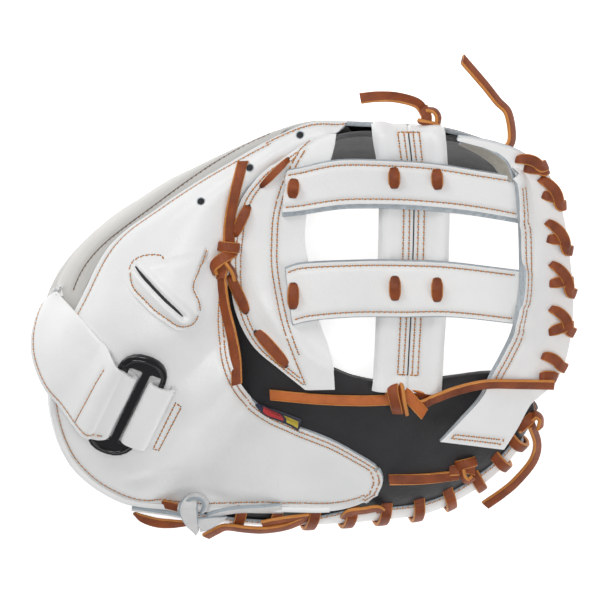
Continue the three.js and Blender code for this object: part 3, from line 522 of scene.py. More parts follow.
def leather(name, base, thick, toward=UP, seams=(), puff=0.0, uneven=0.35, seam_depth=0.55,
            round_edge=0.5, skins=None, seed=1, extra=None):
    """A piece of leather over a base grid. It returns the piece and the grid of its outer face."""
    facing = facing_of(base, toward)
    rows, cols = base.shape[:2]
    u = np.linspace(0, 1, rows)[:, None]
    v = np.linspace(0, 1, cols)[None, :]
    swell = puff * np.clip(np.sin(np.pi * u) * np.sin(np.pi * v), 0, 1) ** PUFF_POWER
    rise = thick + swell + uneven * lumps(base, LUMP_SIZE, seed) + (extra if extra is not None else 0)
    outer = base + facing * rise[..., None]
    lines = [seam(outer) if callable(seam) else seam for seam in seams]
    near = closeness(outer, lines, SEAM_REACH)
    outer = outer - facing * (seam_depth * near)[..., None]
    turn = (np.cross(np.gradient(outer, axis=1), np.gradient(outer, axis=0)) * facing).sum() < 0
    laid = outer[:, ::-1] if turn else outer
    skin = skins or (WHITE, FLESH, CUT)
    piece = lay_grid(name, laid, skin)
    # How near each point is to a seam, kept for the material's painted shade there.
    shade = piece.data.attributes.new("seam", "FLOAT", "POINT")
    shade.data.foreach_set("value", (SEAM_SHADE * (near[:, ::-1] if turn else near)).ravel())
    solid = piece.modifiers.new("thickness", "SOLIDIFY")
    solid.thickness = thick * MM
    solid.offset = -1
    solid.use_even_offset = False
    solid.material_offset = 1
    solid.material_offset_rim = 2
    edge = piece.modifiers.new("cut_edge", "BEVEL")
    edge.width = round_edge * MM
    edge.segments = 2
    edge.limit_method = "ANGLE"
    edge.angle_limit = SHARP_ANGLE
    edge.material = 2
    apply_modifiers(piece)
    return piece, outer


# %% [markdown]
# ## Stitches
# A machine lays a stitch about every three millimetres. One stitch is a small sphere stretched along the
# thread, with ends that dive into the leather, and a small dark disc of painted shade follows it for the
# needle hole. Both are modelled once and copied on along a line.

# %% Model one stitch and a way to sew with it
STITCH = {"pitch": 3.3, "length": 3.0, "width": 1.2, "height": 1.0, "slant": 0.07, "dive": 0.5}
NEEDLE_HOLE = {"along": 0.46, "across": 0.44, "high": 0.10}

bpy.ops.object.select_all(action="DESELECT")
bpy.ops.mesh.primitive_uv_sphere_add(segments=7, ring_count=5, radius=0.5)
one_stitch = bpy.context.active_object
bpy.ops.object.mode_set(mode="EDIT")
bpy.ops.mesh.select_all(action="SELECT")
bpy.ops.transform.rotate(value=math.radians(90), orient_axis="Y", center_override=(0, 0, 0))
bpy.ops.transform.resize(value=(STITCH["length"], STITCH["width"], STITCH["height"]),
                         center_override=(0, 0, 0))
bpy.ops.object.mode_set(mode="OBJECT")
stitch_points = np.array([v.co for v in one_stitch.data.vertices])
stitch_points[:, 2] -= STITCH["dive"] * (2 * stitch_points[:, 0] / STITCH["length"]) ** 2
# The primitive lists its faces in another order each run, so they are sorted.
stitch_faces = sorted(list(face.vertices) for face in one_stitch.data.polygons)
bpy.data.objects.remove(one_stitch)
thread_faces = len(stitch_faces)
# The needle hole is a flat dark disc beside the stitch: painted shade for the hole.
hole_turns = np.radians(np.arange(0, 360, 60))
hole_points = np.stack([STITCH["pitch"] / 2 + NEEDLE_HOLE["along"] * np.cos(hole_turns),
                        NEEDLE_HOLE["across"] * np.sin(hole_turns),
                        0 * hole_turns + NEEDLE_HOLE["high"]], axis=1)
stitch_faces.append([len(stitch_points) + k for k in range(len(hole_turns))])
stitch_points = np.vstack([stitch_points, hole_points])


def sew(name, piece, lines, thread=None, pitch=None, slot="tan_lace"):
    """Stitches along lines on a finished piece, joined in one mesh"""
    tree = tree_of(piece)
    places = []
    for line in lines:
        dense = metres(curve(line, np.linspace(0, 1, 6 * len(line))))
        steps = np.concatenate([[0], np.cumsum(np.linalg.norm(np.diff(dense, axis=0), axis=1))])
        count = max(1, int(steps[-1] / ((pitch or STITCH["pitch"]) * MM)))
        for k in range(count):
            spot = [np.interp((k + part) / count * steps[-1], steps, dense[:, axis])
                    for part in (0.4, 0.5, 0.6) for axis in range(3)]
            before, middle, after = np.array(spot).reshape(3, 3)
            hit, normal, _, _ = tree.find_nearest(Vector(middle))
            places.append((np.array(hit), unit(after - before), np.array(normal)))
    verts, faces = [], []
    for hit, along, normal in places:
        along = unit(along - normal * along.dot(normal))
        side = np.cross(normal, along)
        along, side = along + STITCH["slant"] * side, side - STITCH["slant"] * along
        first = len(verts) * len(stitch_points)
        verts.append(hit + (stitch_points @ np.array([along, side, normal])) * MM)
        faces += [[first + i for i in face] for face in stitch_faces]
    mesh = bpy.data.meshes.new(name)
    mesh.from_pydata(np.vstack(verts).tolist(), [], faces)
    mesh.materials.append(thread or THREAD)
    mesh.materials.append(PAINTED_SHADE)
    skins = np.zeros(len(faces), int)
    skins[thread_faces::thread_faces + 1] = 1
    mesh.polygons.foreach_set("material_index", skins)
    finish_piece(link(name, mesh), slot)
    return len(places)


def sewn_leather(name, node, base, thick, seams, thread=None, **feel):
    """A finished piece of white leather with its stitches. It returns the piece and its outer face."""
    piece, outer = leather(name, base, thick, seams=seams, **feel)
    finish_piece(piece, "white_leather", node)
    short_name = name.removesuffix("_leather")
    count = sew(short_name + "_stitches", piece, [seam(outer) for seam in seams], thread)
    print(short_name, "has", len(piece.data.polygons), "faces and", count, "stitches")
    return piece, outer


# %% [markdown]
# ## Lace
# A lace is a flat strip with rounded corners. It is a grid too: the rows follow its route and the columns
# go round its section. The last column is merged with the first and both ends are filled, so the strip is
# closed. At each stop of the route an outward direction says which way its wide face looks.

# %% Sweep a lace along a route
LACE_WIDTH = 6.8
LACE_THICK = 2.8
TIED_THICK = 2.6
SECTION = [(0, 1.0, 0.0), (0.55, 0.96, 0.10), (0.86, 0.86, 0.165), (0.98, 0.5, 0.2), (1.0, 0, 0.25),
           (0.98, -0.5, 0.3), (0.86, -0.86, 0.335), (0.55, -0.96, 0.40)]
SECTION += [(-x, -y, u + 0.5) for x, y, u in SECTION] + [(0, 1.0, 1.0)]


def sweep(name, stops, outs, width, thick, skin, steps=5, slant=(0.0, 0.0), swell=None):
    """A flat lace along stops in millimetres, whose wide face looks along outs"""
    count = (len(stops) - 1) * steps + 1
    places = np.linspace(0, 1, count)
    route = curve(stops, places)
    outward = curve(outs, places)
    along = unit(np.gradient(route, axis=0))
    side = unit(np.cross(along, outward))
    lift = unit(np.cross(side, along))
    length = np.concatenate([[0], np.cumsum(np.linalg.norm(np.diff(route, axis=0), axis=1))])
    ring = np.array(SECTION)
    size = np.ones(count) if swell is None else curve([[s] for s in swell], places)[:, 0]
    half = (width / 2 * size)[:, None, None]
    wide = side[:, None, :] * ring[None, :, 0, None] * half
    high = lift[:, None, :] * ring[None, :, 1, None] * (thick / 2)
    points = route[:, None, :] + wide + high
    for end, lean in ((0, slant[0]), (-1, slant[1])):
        points[end] += along[end] * (ring[:, 0, None] * lean * width / 2)
    piece = lay_grid(name, points, (skin,))
    uv = piece.data.uv_layers[0].data
    corner = np.zeros(len(piece.data.loops), int)
    piece.data.loops.foreach_get("vertex_index", corner)
    row, col = np.divmod(corner, len(ring))
    uv.foreach_set("uv", np.stack([ring[col, 2], length[row] * MM], axis=1).ravel())
    weld(0.01)
    return piece


def join(name, pieces):
    """Several meshes as one piece"""
    pick(*pieces)
    bpy.ops.object.join()
    pieces[0].name = pieces[0].data.name = name
    return pieces[0]


# %% [markdown]
# ## Palm leather and padded rim
# The pocket is one large black hide. It is thin along the web and swells to a thick padded roll round the
# outside. Its sections run from the inner edge to the rim, and the roll is half a circle at their end, so
# the same surface also says where the laces wrap.

# %% The palm's surface
PALM = [  # innerX innerY innerZ rimX rimY rimZ bulge pad
    (139, -33, 62, 140, -50, 44, 1, 5),
    (132, -31, 64, 127, -65, 30, 3, 10),
    (114, -30, 66, 107, -85, 18, 5, 11.5),
    (78, -34, 70, 79, -102, 12.5, 7, 11.5),
    (45, -35, 73, 51, -107, 11.6, 7, 11.5),
    (21, -28, 78, 6, -110, 11.6, 6, 11.5),
    (0, -14, 84, -42, -109, 12.5, 3, 11.5),
    (-15, 4, 89, -90, -100, 17, 0, 11.5),
    (-23, 19, 92, -124, -83, 21, -3, 11.5),
    (-25, 34, 94, -141, -47, 25, -4, 11.5),
    (-25, 49, 97, -144, -5, 26, -4, 11.5),
    (-23, 64, 100, -131, 28, 24, -4, 11.5),
    (-15, 79, 103, -98, 58, 19, 0, 11.5),
    (-3, 94, 107, -51, 76, 16, 3, 11.5),
    (15, 107, 110, -6, 81, 15.4, 4, 11.5),
    (34, 112.2, 111, 36, 82, 15.3, 4, 11.5),
    (64, 110.6, 111, 72, 82, 15.4, 4, 11.5),
    (93, 109.2, 108, 101, 82, 20, 3, 11.5),
    (113, 102, 104, 118, 88, 48, 2, 9),
    (122, 99, 100, 126, 94, 80, 1, 7),
]
INNER_HALF = 1.8
PAD_STARTS = 0.25


def palm_centre(t, r):
    row = curve(PALM, np.clip(t, 0, 1))
    near = curve(PALM, np.clip(t + 0.01, 0, 1)) - curve(PALM, np.clip(t - 0.01, 0, 1))
    inner, rim, bulge = row[..., 0:3], row[..., 3:6], row[..., 6:7]
    normal = unit(np.cross(near[..., 0:3] + near[..., 3:6], rim - inner))
    r = np.asarray(r)[..., None]
    return inner * (1 - r) + rim * r + normal * 4 * r * (1 - r) * bulge


def palm_frame(t, r):
    """Middle of the leather, its back normal, its direction along the rim, half thickness and pad"""
    t, r = np.broadcast_arrays(np.asarray(t, float), np.asarray(r, float))
    step = 0.004
    across = unit(palm_centre(t, r + step) - palm_centre(t, r - step))
    along = unit(palm_centre(np.clip(t + step, 0, 1), r) - palm_centre(np.clip(t - step, 0, 1), r))
    normal = unit(np.cross(along, across))
    pad = curve(PALM, np.clip(t, 0, 1))[..., 7]
    blend = np.clip((r - PAD_STARTS) / (1 - PAD_STARTS), 0, 1)
    half = INNER_HALF + (pad - INNER_HALF) * blend * blend * (3 - 2 * blend)
    return palm_centre(t, r), normal, along, half, pad


def rim_point(t, degrees, radius):
    """Point, outward and onward directions round the padded rim: 0 is its back, 90 its outer edge"""
    centre, normal, along, _, pad = palm_frame(t, np.ones_like(np.asarray(t, float)))
    outer = unit(np.cross(normal, along))
    angle = np.radians(np.asarray(degrees, float))[..., None]
    out = normal * np.cos(angle) + outer * np.sin(angle)
    onward = -normal * np.sin(angle) + outer * np.cos(angle)
    return centre + out * (pad + np.asarray(radius, float))[..., None], out, onward


def palm_leather():
    along, across, turns = 200, 26, 18
    t = np.linspace(0, 1, along + 1)[:, None]
    r = np.linspace(0, 1, across + 1)[None, :]
    centre, normal, _, half, _ = palm_frame(t, r)
    back = centre + normal * half[..., None]
    front = (centre - normal * half[..., None])[:, ::-1]
    angles = np.linspace(0, 180, turns + 2)[None, 1:-1]
    ends, _, _ = rim_point(np.repeat(t, turns, axis=1), np.repeat(angles, along + 1, axis=0), 0.0)
    inside = np.linspace(1, -1, 5)[None, 1:-1, None]
    edge = centre[:, :1] + normal[:, :1] * INNER_HALF * -inside
    ring = np.concatenate([back, ends, front, edge, back[:, :1]], axis=1)
    outward = facing_of(ring[:, :-1], UP)
    wrinkle = 0.5 * lumps(ring[:, :-1], 16.0, 4) + 0.25 * lumps(ring[:, :-1], 5.0, 9)
    ring[:, :-1] += outward * wrinkle[..., None]
    ring[:, -1] = ring[:, 0]
    return ring


palm = lay_grid("palm_leather", palm_leather(), (BLACK,))
weld(0.02)
finish_piece(palm, "black_leather", "palm_shell")
palm_tree = tree_of(palm)
print("Palm:", len(palm.data.polygons), "faces")

# %% [markdown]
# A white strip closes the padding on the thumb side. It follows the roll of the rim from its back to its
# outer edge, and a row of stitches runs along its inner side.

# %% White strip on the thumb side's rim
RIM_STRIP = {"first": 2 / 36, "last": 13 / 36, "from": -27, "under": 14, "to": 66, "off": 0.7,
             "thick": 1.9, "cover_starts": 0.24, "cover_length": 0.04}


def rim_strip_grid():
    """The strip's inner face. Where the back lies over it, it starts further out."""
    t = np.linspace(RIM_STRIP["first"], RIM_STRIP["last"], 121)[:, None]
    covered = np.clip((t - RIM_STRIP["cover_starts"]) / RIM_STRIP["cover_length"], 0, 1)
    start = RIM_STRIP["from"] + (RIM_STRIP["under"] - RIM_STRIP["from"]) * covered
    angle = start + (RIM_STRIP["to"] - start) * np.linspace(0, 1, 17)[None, :]
    t, angle = np.broadcast_arrays(t, angle)
    return rim_point(t, angle, np.full(t.shape, RIM_STRIP["off"]))[0]


sewn_leather("rim_strip", "rim_wall", rim_strip_grid(), RIM_STRIP["thick"], [seam_at("a", 0.9)],
             toward=np.array([0, -1, 0.6]), uneven=0.15, seam_depth=0.2)

# %% [markdown]
# ## Back of the hand
# One white hide covers the back, crowned over the hand and pinched where it is sewn. Two rows of stitches
# follow its inner edge and one follows the outer seam, outside which a rolled white binding lies. Near the
# heel the leather buckles in a few soft folds.

# %% The back panel
BACK = [  # ax ay az bx by bz crown
    (47.5, -88.5, 0, 46, -104, 0, 0),
    (43, -85, 0, 42, -107.6, 0, 0),
    (35, -80, 0, 34, -111.6, 0, 0),
    (19, -71, 0, 18, -115, 0, 0),
    (-6, -61, 0, -10, -115, 0, 0),
    (-26, -49, 0, -60, -114, 0, 6),
    (-38, -33, 86, -106, -108, 26, 12),
    (-44, -8, 92, -136, -88, 42, 18),
    (-45, 13, 95, -149, -54, 64, 22),
    (-43, 34, 97, -145, -20, 74, 22),
    (-38, 56, 100, -132, 10, 80, 20),
    (-31, 76, 103, -113, 44, 88, 15),
    (-17, 91, 106, -82, 68, 98, 9),
    (2, 105, 110, -45, 92, 105, 4),
    (14, 110.6, 112, -1, 116, 110.5, 1.0),
    (22.5, 112.4, 111.5, 28.5, 118.8, 107.5, 0.3),
]
BACK_END = {"rows": 12, "bulge": 3.4}
FOLD = {"depth": 2.2, "reach": 4.0}
CREASE = {"depth": 0.9, "size": 20.0, "starts": -60, "length": 40}
EYELETS = [(-59, 72, 0.5), (-30, 92, 0.6), (0, 111.5, 0.5)]  # x, y and lean
HEEL_FOLDS = [
    [(-84, -108, 30), (-66, -105, 36), (-48, -108, 30)],
    [(-51, -117, 20), (-36, -111, 30), (-12, -112, 28)],
    [(-100, -96, 45), (-80, -92, 52), (-60, -96, 48)],
]

back_base = section_grid(BACK, 160, 60, below=[palm_tree], clearance=1.0)
across_share = steps_to(60)
end_share = np.clip(1 - np.arange(BACK_END["rows"]) / BACK_END["rows"], 0, 1)[:, None]
bulge = BACK_END["bulge"] * 4 * across_share * (1 - across_share) * end_share
back_base[:BACK_END["rows"], :, 0] += bulge
back_base = smooth_ends(back_base, 16, 8)
folds = -FOLD["depth"] * closeness(back_base, HEEL_FOLDS, FOLD["reach"])
creases = -CREASE["depth"] * np.abs(lumps(back_base * np.array([1.0, 0.5, 1.0]), CREASE["size"], 21))
heel = np.clip((CREASE["starts"] - back_base[..., 1]) / CREASE["length"], 0, 1)


def round_the_end(inset, first, reach):
    """The seam round the thumb lobe's end, from the line inside a to the line inside b"""
    def seam(grid):
        row = int(round(first * (len(grid) - 1)))
        tip = grid[0].mean(axis=0)
        tip = tip + unit(grid[row].mean(axis=0) - tip) * reach
        return np.array([inset_line(grid, "a", inset)[row], tip, inset_line(grid, "b", inset)[row]])
    return seam


BACK_SEAMS = [seam_at("a", 2.6, (0.04, 0.79)), seam_at("a", 6.0, (0.07, 0.79)),
              seam_at("b", 2.6, (0.04, 0.11)), seam_at("b", 5.8, (0.07, 0.9)),
              seam_at("b", 2.4, (0.9, 1.0)), round_the_end(2.6, 0.04, 1.0), round_the_end(6.0, 0.07, 4.4)]
back, back_outer = sewn_leather("back_leather", "back_panel", back_base, LEATHER_THICK, BACK_SEAMS,
                                uneven=0.6, extra=folds + creases * heel)
back_tree = tree_of(back)

# %% [markdown]
# The rolled binding is a narrow strip folded over the panel's outer edge. A lace sweep with an almost round
# section gives it.

# %% The rolled binding
BINDING = {"inset": 1.2, "width": 5.2, "thick": 3.6, "span": (0.20, 0.66)}
HAND_CENTRE = np.array([-40, 0, 40])
binding_line = inset_line(back_outer, "b", BINDING["inset"], BINDING["span"])
binding_out = unit(binding_line - HAND_CENTRE)
binding = sweep("back_binding", binding_line[::4], binding_out[::4], BINDING["width"], BINDING["thick"],
                WHITE, steps=4)
finish_piece(binding, "white_leather")

# %% [markdown]
# Three small holes lie along the finger seam. Each is a dark oval of painted shade, for the hole's inside,
# in a thin grey lip.

# %% The eyelets
eyelet_parts = []
for number, (x, y, lean) in enumerate(EYELETS):
    onward = np.array([math.cos(lean), math.sin(lean)])
    for half, width, high, skin in ((2.7, 5.0, 0.15, CUT), (2.1, 3.9, 0.4, PAINTED_SHADE)):
        spots = [np.array([x, y]) + onward * half * share for share in np.linspace(-1, 1, 7)]
        spots = lying_on([back_tree], spots, high)
        eyelet_parts.append(sweep(f"eyelet_{number}_{skin.name}", spots, [UP] * 7, width, 0.9, skin,
                                  steps=2, swell=[0.2, 0.72, 0.94, 1.0, 0.94, 0.72, 0.2]))
finish_piece(join("eyelets", eyelet_parts), "white_leather")

# %% [markdown]
# ## Finger side
# The outer side of the fingers is a second hide. It hangs from the finger seam and folds round the padded
# rim below. A row of dark stitches runs along its upper side, and its part beyond the web is black.

# %% The finger side wall
WALL = [  # ax ay az bx by bz at: 'at' is the place along the palm where its lower edge lies
    (-139, -8, 67, -151, 3, 50, 0.53),
    (-134, 8, 74, -146, 19, 58, 0.555),
    (-125, 29, 82, -138, 36, 64, 0.59),
    (-109, 47, 88, -122, 54, 70, 0.635),
    (-82, 67, 97, -97, 73, 76, 0.675),
    (-53, 86, 102, -62, 94, 82, 0.715),
    (-21, 105.5, 106.5, -24, 109, 86, 0.75),
    (2, 115, 109.5, 1, 117, 88, 0.775),
    (21, 117, 109, 21, 118, 86, 0.8),
    (43, 115.5, 103, 43, 117.4, 82, 0.83),
    (67, 114.5, 102, 67, 116.8, 80, 0.86),
    (90, 112, 100, 90, 115.2, 76, 0.895),
    (108, 107.5, 97, 110, 110, 74, 0.93),
    (120, 103.5, 100, 124, 104.5, 80, 0.96),
]
WALL_THICK = 2.6
WALL_OFF = 1.3 + WALL_THICK
WALL_FACING = np.array([0, 1, 0.2])
WALL_CHANGE = 84
WALL_TURN = (6, 106)  # degrees round the padded rim
WALL_TOP = {"columns": 6, "slope_from": 9, "step": 0.45, "first_row": 60, "blend": 8}
WALL_SMOOTH = {"along": 16, "across": 4}


def clear_of_palm(point, t, distance):
    """A point moved out until it is clear of the palm leather's back"""
    r = np.linspace(0, 1, 26)
    centre, normal, _, half, _ = palm_frame(np.full(len(r), t), r)
    off = point - centre
    near = np.argmin(np.linalg.norm(off, axis=1))
    missing = half[near] + distance - off[near].dot(normal[near])
    return point + normal[near] * max(missing, 0)


def wall_grid(along, across, turns):
    rows = curve(WALL, np.linspace(0, 1, along + 1))
    grid = []
    for row in rows:
        top, most, at = row[0:3], row[3:6], row[6]
        low = rim_point(np.array([at]), np.array([float(WALL_TURN[0])]), WALL_OFF)[0][0]
        handle = 2 * most - 0.5 * top - 0.5 * low
        u = np.linspace(0, 1, across + 1)[:, None]
        side = (1 - u) ** 2 * top + 2 * u * (1 - u) * handle + u * u * low
        side = [clear_of_palm(p, at, WALL_OFF + 0.6) for p in side]
        angles = np.linspace(*WALL_TURN, turns + 1)[1:]
        grid.append(side + list(rim_point(np.full(turns, at), angles, np.full(turns, WALL_OFF))[0]))
    return np.array(grid)


def straight_top(base):
    """Where the wall bends tightly, its first columns go on straight from the ones below them"""
    edge = WALL_TOP["columns"]
    upright = (base[:, edge] - base[:, WALL_TOP["slope_from"]]) / (WALL_TOP["slope_from"] - edge)
    straight = (np.arange(len(base)) - WALL_TOP["first_row"]) / WALL_TOP["blend"]
    straight = np.clip(straight, 0, 1)[:, None]
    for column in range(edge):
        raised = base[:, edge] + upright * (edge - column) * WALL_TOP["step"]
        base[:, column] = (1 - straight) * base[:, column] + straight * raised
    return base


wall_plan = wall_grid(130, 30, 14)
for _ in range(WALL_SMOOTH["along"]):
    wall_plan[1:-1] = (wall_plan[:-2] + 2 * wall_plan[1:-1] + wall_plan[2:]) / 4
for _ in range(WALL_SMOOTH["across"]):
    wall_plan[:, 1:-1] = (wall_plan[:, :-2] + 2 * wall_plan[:, 1:-1] + wall_plan[:, 2:]) / 4
wall_base = straight_top(wall_plan - facing_of(wall_plan, WALL_FACING) * WALL_THICK)
# The finger side is made in the darker copy of the white leather: painted shade, as it faces away from the
# light.
finger_wall, _ = sewn_leather("finger_side", "finger_side_wall", wall_base[:WALL_CHANGE + 1], WALL_THICK,
                              [seam_at("a", 8.4, (0.16, 0.8))], thread=GREY_THREAD, toward=WALL_FACING,
                              uneven=0.4, skins=(SHADED_WHITE,) * 3)
upper_wall, _ = leather("finger_side_upper", wall_base[WALL_CHANGE:], WALL_THICK, toward=WALL_FACING,
                        uneven=0.3, skins=(BLACK, BLACK, CUT))
finish_piece(upper_wall, "black_leather")
wall_tree = tree_of(finger_wall)

# %% [markdown]
# ## Web
# The web is a slanted plane of separate leathers: a crescent that laces it to the hand, two cross bars, a
# post with two rolled edges, and a band along its top. Each is laid over the ones already finished, so it
# bends where it crosses them.

# %% The web's plane and the crescent
WEB = {"height": 86, "rise": 0.267, "fall_from": 84, "fall_length": 60, "fall": 20,
       "fall_slope": 0.09, "clearance": 0.6}
LIFT = {"base": 2, "post": 2, "bar": 8.5, "band": 8}
CRESCENT = [  # ax ay bx by lift
    (14, 111.5, 21.5, 112.6, -1),
    (5, 108, 20.6, 105.6, 0),
    (-8, 99, 18, 96, 1),
    (-25.5, 86.5, 13.6, 84, 1),
    (-37, 69.5, 5, 69, 1),
    (-41, 49, 3, 50, 1),
    (-42, 28, 6, 32, 1),
    (-38, 5, 11, 4, 0),
    (-28, -14, 17, -14, -1),
    (-12, -28, 20, -28, -2),
    (3, -40, 21, -40, -3),
]


def web_height(x, y):
    past = np.maximum(0, (x - WEB["fall_from"]) / WEB["fall_length"])
    return WEB["height"] + WEB["rise"] * y - past ** 1.5 * (WEB["fall"] - WEB["fall_slope"] * y)


def web_grid(table, along, across, lift, thick, below, span=(0.0, 1.0)):
    return section_grid(flat_rows(table), along, across, lambda x, y: web_height(x, y) + lift - thick,
                        below, WEB["clearance"], span)


crescent_base = web_grid(CRESCENT, 110, 30, LIFT["base"], LEATHER_THICK, [palm_tree, back_tree, wall_tree])
WEB_SIDE_SEAM = [(6.6, 109), (0, 102.5), (-6, 92), (-12, 78.6), (-16, 62.4), (-17, 46), (-16.8, 32),
                 (-14, 14), (-10, -3), (-4, -20), (3, -37.5)]
CRESCENT_SEAMS = [seam_at("a", 3.0, (0.17, 0.97)), seam_at("a", 6.2, (0.2, 0.94)), on_grid(WEB_SIDE_SEAM),
                  on_grid([(x + 3.2, y + 0.4) for x, y in WEB_SIDE_SEAM[1:-1]])]
tucked = tuck_in(crescent_base, depth=2.9, until=0.34, fade=0.1, reach=3.5)
crescent, _ = sewn_leather("web_crescent", "web_base", smooth_ends(crescent_base, 6), LEATHER_THICK,
                           CRESCENT_SEAMS, puff=0.5, seed=5, extra=tucked, skins=(WHITE, WHITE, CUT))
crescent_tree = tree_of(crescent)

# %% [markdown]
# The post is one strip whose long edges are rolled over a cord and meet in the middle. Its section is a flat
# seam between two soft rolls, which is worked out as a height across the grid. At the top it bends over
# the mitt's edge, and bar tacks hold both ends.

# %% The post
POST = [  # ax ay bx by lift
    (42, 114.6, 86, 112.6, -26),
    (42, 114.6, 86, 112.6, -13),
    (42.5, 113.2, 86, 111.4, -1.5),
    (43.5, 108, 87, 107, 1),
    (46, 93, 88, 92, 0),
    (47, 68, 89, 68, 0),
    (46, 20, 88, 20, 0),
    (44.5, -20, 86, -20, 0),
    (43, -40, 85, -42, -2),
]
POST_THICK = 4.5
POST_ROWS = [0.36, 0.43, 0.57, 0.64]
ROLLED_EDGE = {"height": 1.5, "middle": 0.14, "reach": 0.11}
EDGE_DROP = {"depth": 1.3, "reach": 0.035}
GROOVE = {"depth": 1.1, "reach": 0.012, "thread_high": 0.35, "width": 0.7, "thick": 0.5}


def post_profile(cols):
    """Rolls at both edges, a groove down the middle"""
    def ridge(distance, height, reach):
        return height * np.exp(-(distance / reach) ** 2)

    u = np.linspace(0, 1, cols)
    from_edge = np.minimum(u, 1 - u)
    roll = ridge(from_edge - ROLLED_EDGE["middle"], ROLLED_EDGE["height"], ROLLED_EDGE["reach"])
    roll = roll - ridge(from_edge, EDGE_DROP["depth"], EDGE_DROP["reach"])
    return roll - ridge(u - 0.5, GROOVE["depth"], GROOVE["reach"])


def across_line(share, span=(0.0, 1.0)):
    """The line at a share of the way across a grid"""
    def seam(grid):
        first, last = ends_of(span, len(grid))
        return grid[first:last + 1, int(round(share * (grid.shape[1] - 1)))]
    return seam


def bar_tack(outer, row_share, span):
    """A short dense row of thread across a strip"""
    row = outer[int(round(row_share * (len(outer) - 1)))]
    first, last = ends_of(span, len(row))
    return row[first:last + 1]


post_base = web_grid(POST, 100, 48, LIFT["post"], POST_THICK, [palm_tree], (0.2, 1.0))
post_seams = [across_line(share, (0.3, 0.93)) for share in POST_ROWS]
post, post_outer = sewn_leather("web_post_leather", "web_post", post_base, POST_THICK, post_seams,
                                uneven=0.3, seed=8, extra=post_profile(49), round_edge=1.5,
                                skins=(WHITE, FLESH, WHITE))
post_tree = tree_of(post)
tacks = [bar_tack(post_outer, 0.93, (0.36, 0.64)), bar_tack(post_outer, 0.3, (0.34, 0.66))]
print("Post tacks:", sew("web_post_tacks", post, tacks, pitch=2.4), "stitches")
# A thin dark strip along the groove, where the rolled edges meet, is painted shade.
gap_line = across_line(0.5, (0.3, 0.95))(post_outer)[::3] + UP * GROOVE["thread_high"]
gap = sweep("web_post_gap", gap_line, [UP] * len(gap_line), GROOVE["width"], GROOVE["thick"], PAINTED_SHADE, steps=2)
finish_piece(gap, "white_leather")

# %% [markdown]
# Each bar is two leathers, one on the other, with their grain sides out. Their cut edges show as two thin
# blue-grey lines along the lower side, so the bars are made as two sheets with a hairline between them.

# %% The two bars
UPPER_BAR = [(-8, 91, -10, 66.4, -2.5), (0, 92.4, 0, 67.4, -1), (23, 97, 26, 71, 0), (55, 96.6, 55, 71.2, 1),
             (81, 94.6, 81, 69.6, 0), (105, 91, 104, 67, 0), (128, 87.5, 131, 62.6, 0)]
LOWER_BAR = [(-9, 33, -5, -1, -2.5), (2, 36, 8, 2, -1), (34, 37.5, 34, 4, 0), (62, 37.5, 62, 4, 1),
             (90, 36.2, 90, 4, 0), (131, 31.4, 129, 0, 0)]
BAR_THICK = 4
BAR_LAYER = 1.9
BAR_SPACE = 0.2
BARS = [("web_bar_upper", UPPER_BAR, 11, 3.4), ("web_bar_lower", LOWER_BAR, 12, 0.8)]
BAR_SEAMS = [seam_at("a", 3.0, (0.02, 0.98)), seam_at("b", 3.0, (0.02, 0.98))]


def layered(name, node, base, layer, seams, seed, puff=0.25, peek=0.5, under=None):
    """Two leathers, one on the other: the lower one peeks out along side b. It returns the upper one."""
    feel = {"uneven": 0.3, "seed": seed, "round_edge": 0.35}
    width = base[:, -1] - base[:, 0]
    lower_base = base + unit(width)[:, None, :] * np.linspace(0, peek, base.shape[1])[None, :, None]
    lower, _ = leather(name + "_under", lower_base, layer, skins=under, **feel)
    finish_piece(lower, "white_leather")
    upper_base = base + facing_of(base, UP) * (layer + BAR_SPACE)
    return sewn_leather(name, node, upper_base, layer, seams, puff=puff, **feel)[0]


bar_trees = []
for name, table, seed, peek in BARS:
    base = web_grid(table, 110, 26, LIFT["bar"], BAR_THICK, [crescent_tree, post_tree])
    bar_trees.append(tree_of(layered(name + "_leather", name, base, BAR_LAYER, BAR_SEAMS, seed, peek=peek,
                                     under=(CUT, FLESH, CUT))))

# %% [markdown]
# The band is the broad strip along the top of the web. It is layered as the bars are, and it lies over their
# ends. Two rows of stitches follow its inner edge and a sewn box closes its lower end.

# %% The top band
BAND = [  # ax ay bx by
    (93, 109, 94, 111.2),
    (101, 107, 103.4, 110),
    (113, 103.2, 117.5, 107),
    (123.5, 94.5, 133, 101),
    (128, 83, 147.5, 88.8),
    (130, 62, 155.5, 68.5),
    (131, 40, 160, 42.5),
    (131, 19, 162.5, 17.5),
    (127, -4, 161.5, -6),
    (121, -18, 156, -28),
    (114, -31, 147.5, -39.5),
    (108, -44, 137.5, -48),
    (95, -59, 129, -63.5),
    (84, -71, 121, -76),
]
BAND_THICK = 5.0
BAND_LAYER = 2.3
band_base = web_grid(BAND, 170, 28, LIFT["band"], BAND_THICK, [palm_tree] + bar_trees)


def end_box(low, high, span):
    """A closed narrow box of stitches near a grid's end"""
    def seam(grid):
        near, far = inset_line(grid, "end", low, span), inset_line(grid, "end", high, span)
        return np.vstack([near, far[::-1], near[:1]])
    return seam


BAND_SEAMS = [seam_at("a", 3.2, (0.32, 0.8)), seam_at("a", 6.6, (0.32, 0.8)),
              end_box(3.6, 6.6, (0.1, 0.9))]
band_tree = tree_of(layered("web_band_leather", "web_top_band", band_base, BAND_LAYER, BAND_SEAMS, 14,
                            puff=0.3))

# %% [markdown]
# At its upper end the band curls, so its inner side shows. A small sheet with the flesh side up makes that.

